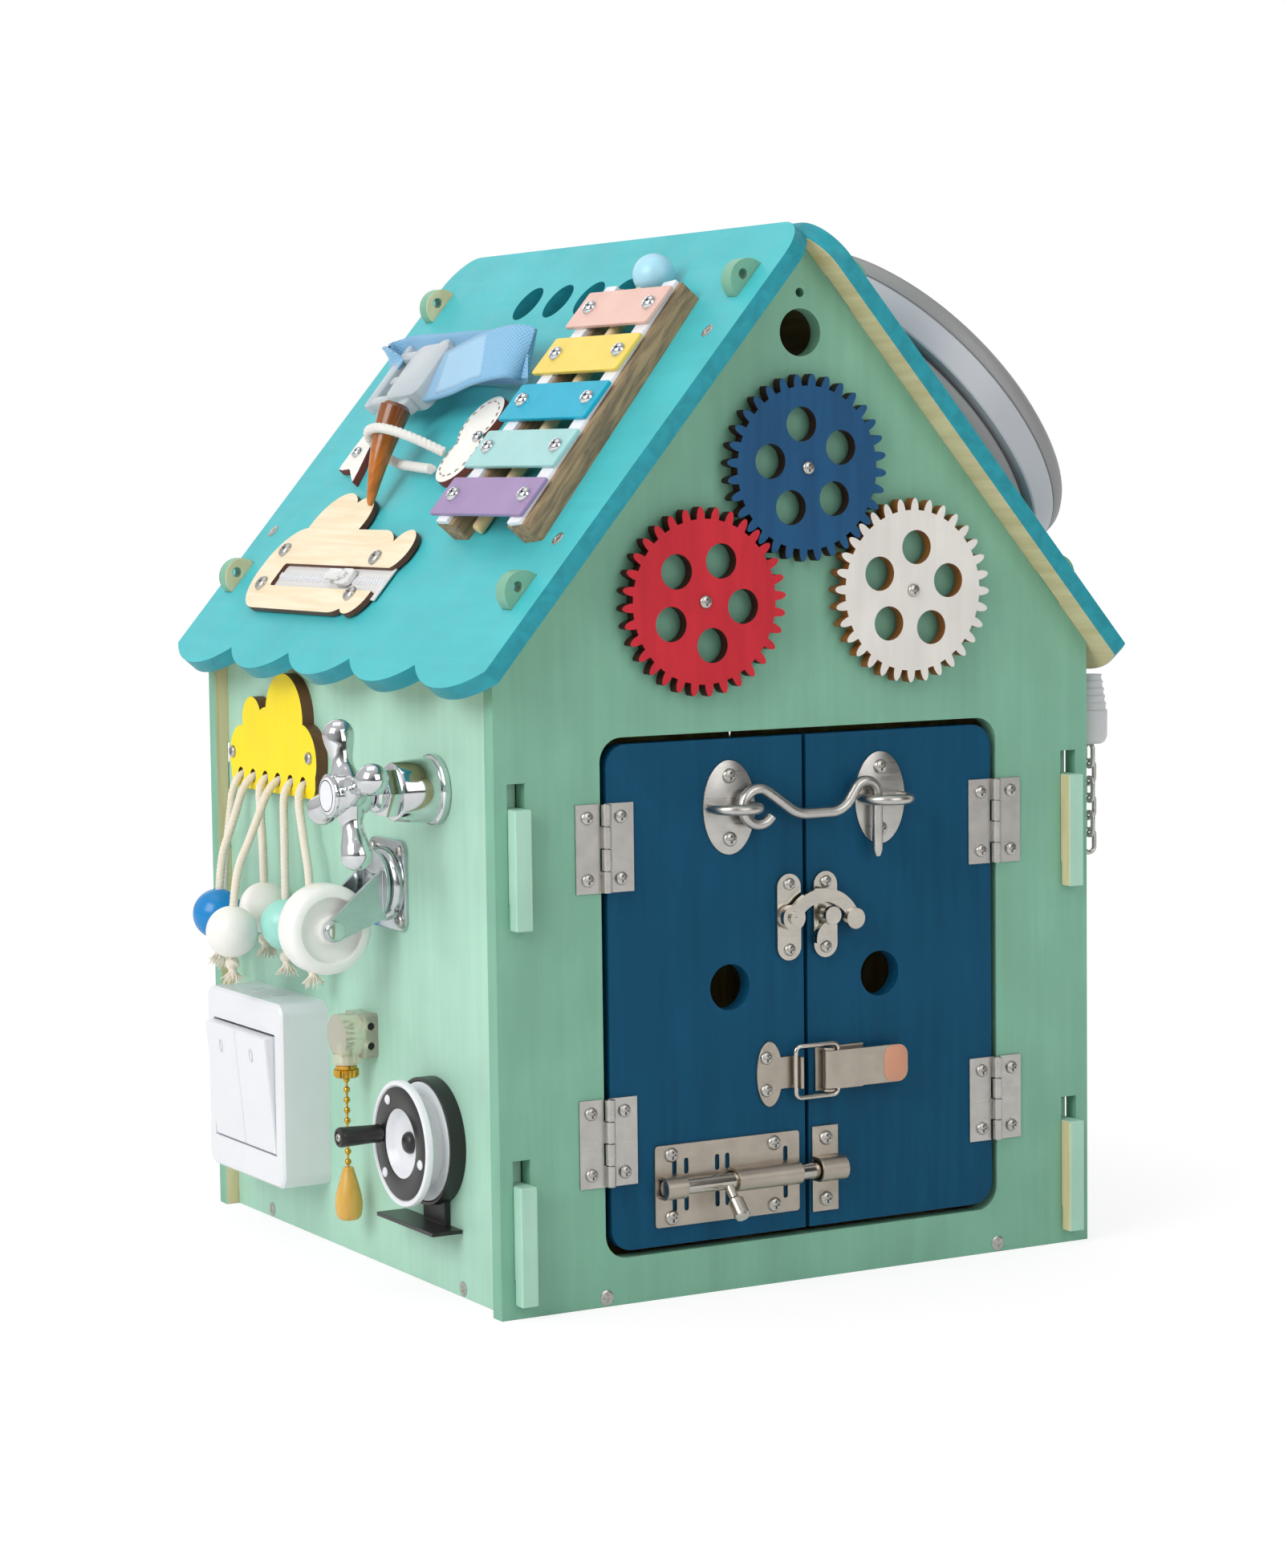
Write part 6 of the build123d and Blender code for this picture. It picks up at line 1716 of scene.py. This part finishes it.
@dataclass
class ChainPull:
    """Ribbed bell with a link chain on the right wall."""

    finishes: Finishes
    u: float = -128.0
    out: float = 24.0
    heights: tuple[float, float, float] = (227.0, 242.0, 259.0)
    links: int = 6

    def build(self) -> None:
        """Builds bell, peg and links."""
        f = self.finishes
        z0, z1, z2 = self.heights
        rise = np.linspace(z1, z2, 36)
        ribs = 8.5 - 2.5 * (rise - z1) / (z2 - z1) - 0.5 * (np.cos(2 * math.pi * (rise - z1) / 3.4) < 0)
        bulb = [(0, z0), (5.8, z0), (7.4, z0 + 1.0), (8.4, z0 + 3.4), (8.5, z1 - 1.0)]
        profile = bulb + list(zip(ribs.tolist(), rise.tolist())) + [(0, z2)]
        shell = Shell().lathe(profile, RIGHT, (self.u, 0.0, self.out), (0, 1, 0), 40)
        peg = [(0, 0), (4, 0), (4, self.out - 6.0), (0, self.out - 6.0)]
        shell.lathe(peg, RIGHT, (self.u, (z1 + z2) / 2, 0.0), sides=24)
        shell.build("ribbed_bell", f.pale, "house", ("chain_pull",))
        ring = rounded(10.8, 5.8, 2.89, (0, 0), 12)
        chain = Shell()
        for index in range(self.links):
            z = z0 - 6.5 + 1.1 - index * 8.0
            flat = index % 2 == 0
            u = self.u + (ring[:, 1] if flat else 0 * ring[:, 1])
            w = self.out + (0 * ring[:, 1] if flat else ring[:, 1])
            chain.tube(RIGHT.at(u, z + ring[:, 0], w), 1.1, 12, loop=True)
        chain.build("link_chain", f.steel, "house", slot="steel")


@dataclass
class Studio:
    """Floor, light and camera."""

    eye: Point = (-0.8485, -1.5040, 0.36054)
    yaw: float = 29.543
    pitch: float = -5.042
    roll: float = -0.721
    focal: float = 4585.66
    frame_height: float = 1954.0

    sky: tuple[float, float] = (0.06, 0.7)
    floor_share: tuple[float, float] = (0.72, 1.0)
    lamps: tuple[tuple[str, Point, float, float, float], ...] = (
        ("key", (-2.2, -0.7, 1.5), 0.25, 1.6, 38.0), ("front fill", (0.5, -2.6, 1.3), 0.25, 1.8, 21.0),
        ("top", (-0.3, 0.2, 2.4), 0.3, 1.6, 6.0), ("back fill", (0.6, 2.6, 1.2), 0.25, 1.8, 7.0),
        ("right fill", (2.5, 0.3, 1.0), 0.25, 1.8, 9.0))
    floor_fade: tuple[float, float] = (0.2, 0.55)

    @staticmethod
    def _seen_rays(tree: bpy.types.NodeTree, *labels: str) -> bpy.types.NodeSocket:
        """Marks rays from the eye and those of other named kinds."""
        paths = tree.nodes.new("ShaderNodeLightPath")
        total = paths.outputs["Is Camera Ray"]
        for label in labels:
            total = worked(tree, "MAXIMUM", total, paths.outputs[label])
        return total

    @staticmethod
    def _spread(tree: bpy.types.NodeTree, source: bpy.types.NodeSocket, low: float, high: float,
                to: tuple[float, float]) -> bpy.types.NodeSocket:
        """Maps a value from one range to another with soft ends."""
        node = tree.nodes.new("ShaderNodeMapRange")
        node.interpolation_type = "SMOOTHSTEP"
        tree.links.new(source, node.inputs["Value"])
        for label, value in zip(("From Min", "From Max", "To Min", "To Max"), (low, high) + to):
            node.inputs[label].default_value = value
        return node.outputs["Result"]

    def _world(self) -> None:
        """Gives a soft sky, brighter above and behind, that shows white behind the object."""
        world = bpy.data.worlds.new("studio")
        bpy.context.scene.world = world
        world.use_nodes = True
        tree = world.node_tree
        sky = tree.nodes["Background"]
        sky.inputs["Color"].default_value = (1.0, 1.0, 1.0, 1.0)
        way = tree.nodes.new("ShaderNodeTexCoord")
        dot = tree.nodes.new("ShaderNodeVectorMath")
        dot.operation = "DOT_PRODUCT"
        dot.inputs[1].default_value = (-0.45, 0.3, 0.84)
        tree.links.new(way.outputs["Generated"], dot.inputs[0])
        tree.links.new(self._spread(tree, dot.outputs["Value"], -0.2, 0.8, self.sky), sky.inputs["Strength"])
        seen = tree.nodes.new("ShaderNodeBackground")
        seen.inputs["Strength"].default_value = 1.0
        seen.inputs["Color"].default_value = (1.0, 1.0, 1.0, 1.0)
        mix = tree.nodes.new("ShaderNodeMixShader")
        tree.links.new(self._seen_rays(tree, "Is Transmission Ray"), mix.inputs[0])
        tree.links.new(sky.outputs[0], mix.inputs[1])
        tree.links.new(seen.outputs[0], mix.inputs[2])
        tree.links.new(mix.outputs[0], tree.nodes["World Output"].inputs["Surface"])

    def _floor(self) -> None:
        """Lays a pale floor that keeps the object's shadow and turns plain white further off."""
        mesh = bpy.data.meshes.new("floor")
        corners = np.array([[-9, -9, 0], [9, -9, 0], [9, 12, 0], [-9, 12, 0]], float)
        mesh.from_pydata(corners.tolist(), [], [[0, 1, 2, 3]])
        floor = bpy.data.objects.new("floor", mesh)
        bpy.context.scene.collection.objects.link(floor)
        pale = bpy.data.materials.new("pale floor")
        pale.use_nodes = True
        tree = pale.node_tree
        shader = tree.nodes["Principled BSDF"]
        shader.inputs["Base Color"].default_value = (0.9, 0.9, 0.9, 1.0)
        shader.inputs["Roughness"].default_value = 0.9
        shader.inputs["Specular IOR Level"].default_value = 0.0
        glow = tree.nodes.new("ShaderNodeEmission")
        glow.inputs["Strength"].default_value = 1.08
        place_on = tree.nodes.new("ShaderNodeTexCoord")
        length = tree.nodes.new("ShaderNodeVectorMath")
        length.operation = "LENGTH"
        tree.links.new(place_on.outputs["Object"], length.inputs[0])
        fade = self._spread(tree, length.outputs["Value"], *self.floor_fade, self.floor_share)
        share = worked(tree, "MULTIPLY", fade, self._seen_rays(tree, "Is Transmission Ray"))
        mix = tree.nodes.new("ShaderNodeMixShader")
        tree.links.new(share, mix.inputs[0])
        tree.links.new(shader.outputs[0], mix.inputs[1])
        tree.links.new(glow.outputs[0], mix.inputs[2])
        tree.links.new(mix.outputs[0], tree.nodes["Material Output"].inputs["Surface"])
        mesh.materials.append(pale)

    @staticmethod
    def _lamp(name: str, at: Point, aim: Point, size: float, power: float) -> None:
        """Hangs a soft square lamp."""
        data = bpy.data.lights.new(name, "AREA")
        data.size = size
        data.energy = power
        lamp = bpy.data.objects.new(name, data)
        lamp.location = at
        way = np.array(aim) - np.array(at)
        lamp.rotation_euler = (math.acos(-way[2] / np.linalg.norm(way)), 0.0, math.atan2(way[0], -way[1]) + math.pi)
        bpy.context.scene.collection.objects.link(lamp)

    def _camera(self) -> None:
        """Sets the camera at the photograph's angle."""
        data = bpy.data.cameras.new("camera")
        data.sensor_fit = "VERTICAL"
        data.sensor_height = 36.0
        data.lens = self.focal * 36.0 / self.frame_height
        data.clip_start = 0.05
        camera = bpy.data.objects.new("camera", data)
        yaw, pitch, roll = (math.radians(v) for v in (self.yaw, self.pitch, self.roll))
        ahead = np.array([math.sin(yaw) * math.cos(pitch), math.cos(yaw) * math.cos(pitch), math.sin(pitch)])
        right = np.array([math.cos(yaw), -math.sin(yaw), 0.0])
        up = np.cross(right, ahead)
        side = right * math.cos(roll) + up * math.sin(roll)
        top = up * math.cos(roll) - right * math.sin(roll)
        pose = np.eye(4)
        pose[:3, 0], pose[:3, 1], pose[:3, 2], pose[:3, 3] = side, top, -ahead, self.eye
        bpy.context.scene.collection.objects.link(camera)
        camera.matrix_world = Matrix(pose.tolist())
        bpy.context.scene.camera = camera

    def build(self) -> None:
        """Sets world, floor, lamps, camera and view."""
        self._world()
        self._floor()
        for name, at, aim_height, size, power in self.lamps:
            self._lamp(name, at, (0.0, 0.0, aim_height), size, power)
        self._camera()
        bpy.context.scene.view_settings.view_transform = "Standard"


def main() -> None:
    """Builds every sub-assembly in order and notes the sizes."""
    logging.basicConfig(level=logging.INFO, format="%(message)s")
    Studio().build()
    finishes = Finishes(Workshop())
    for assembly in (CloudBeads, Toggle, Belt, Carcass, Doors, Gears, GateLatch, Latches, Tap, Caster, WallSwitch,
                     PullSwitch, Reel, Xylophone, ZipPanel, Lamp, ChainPull):
        assembly(finishes).build()
        LOG.info("%s done", assembly.__name__)


if __name__ == "__main__":
    main()
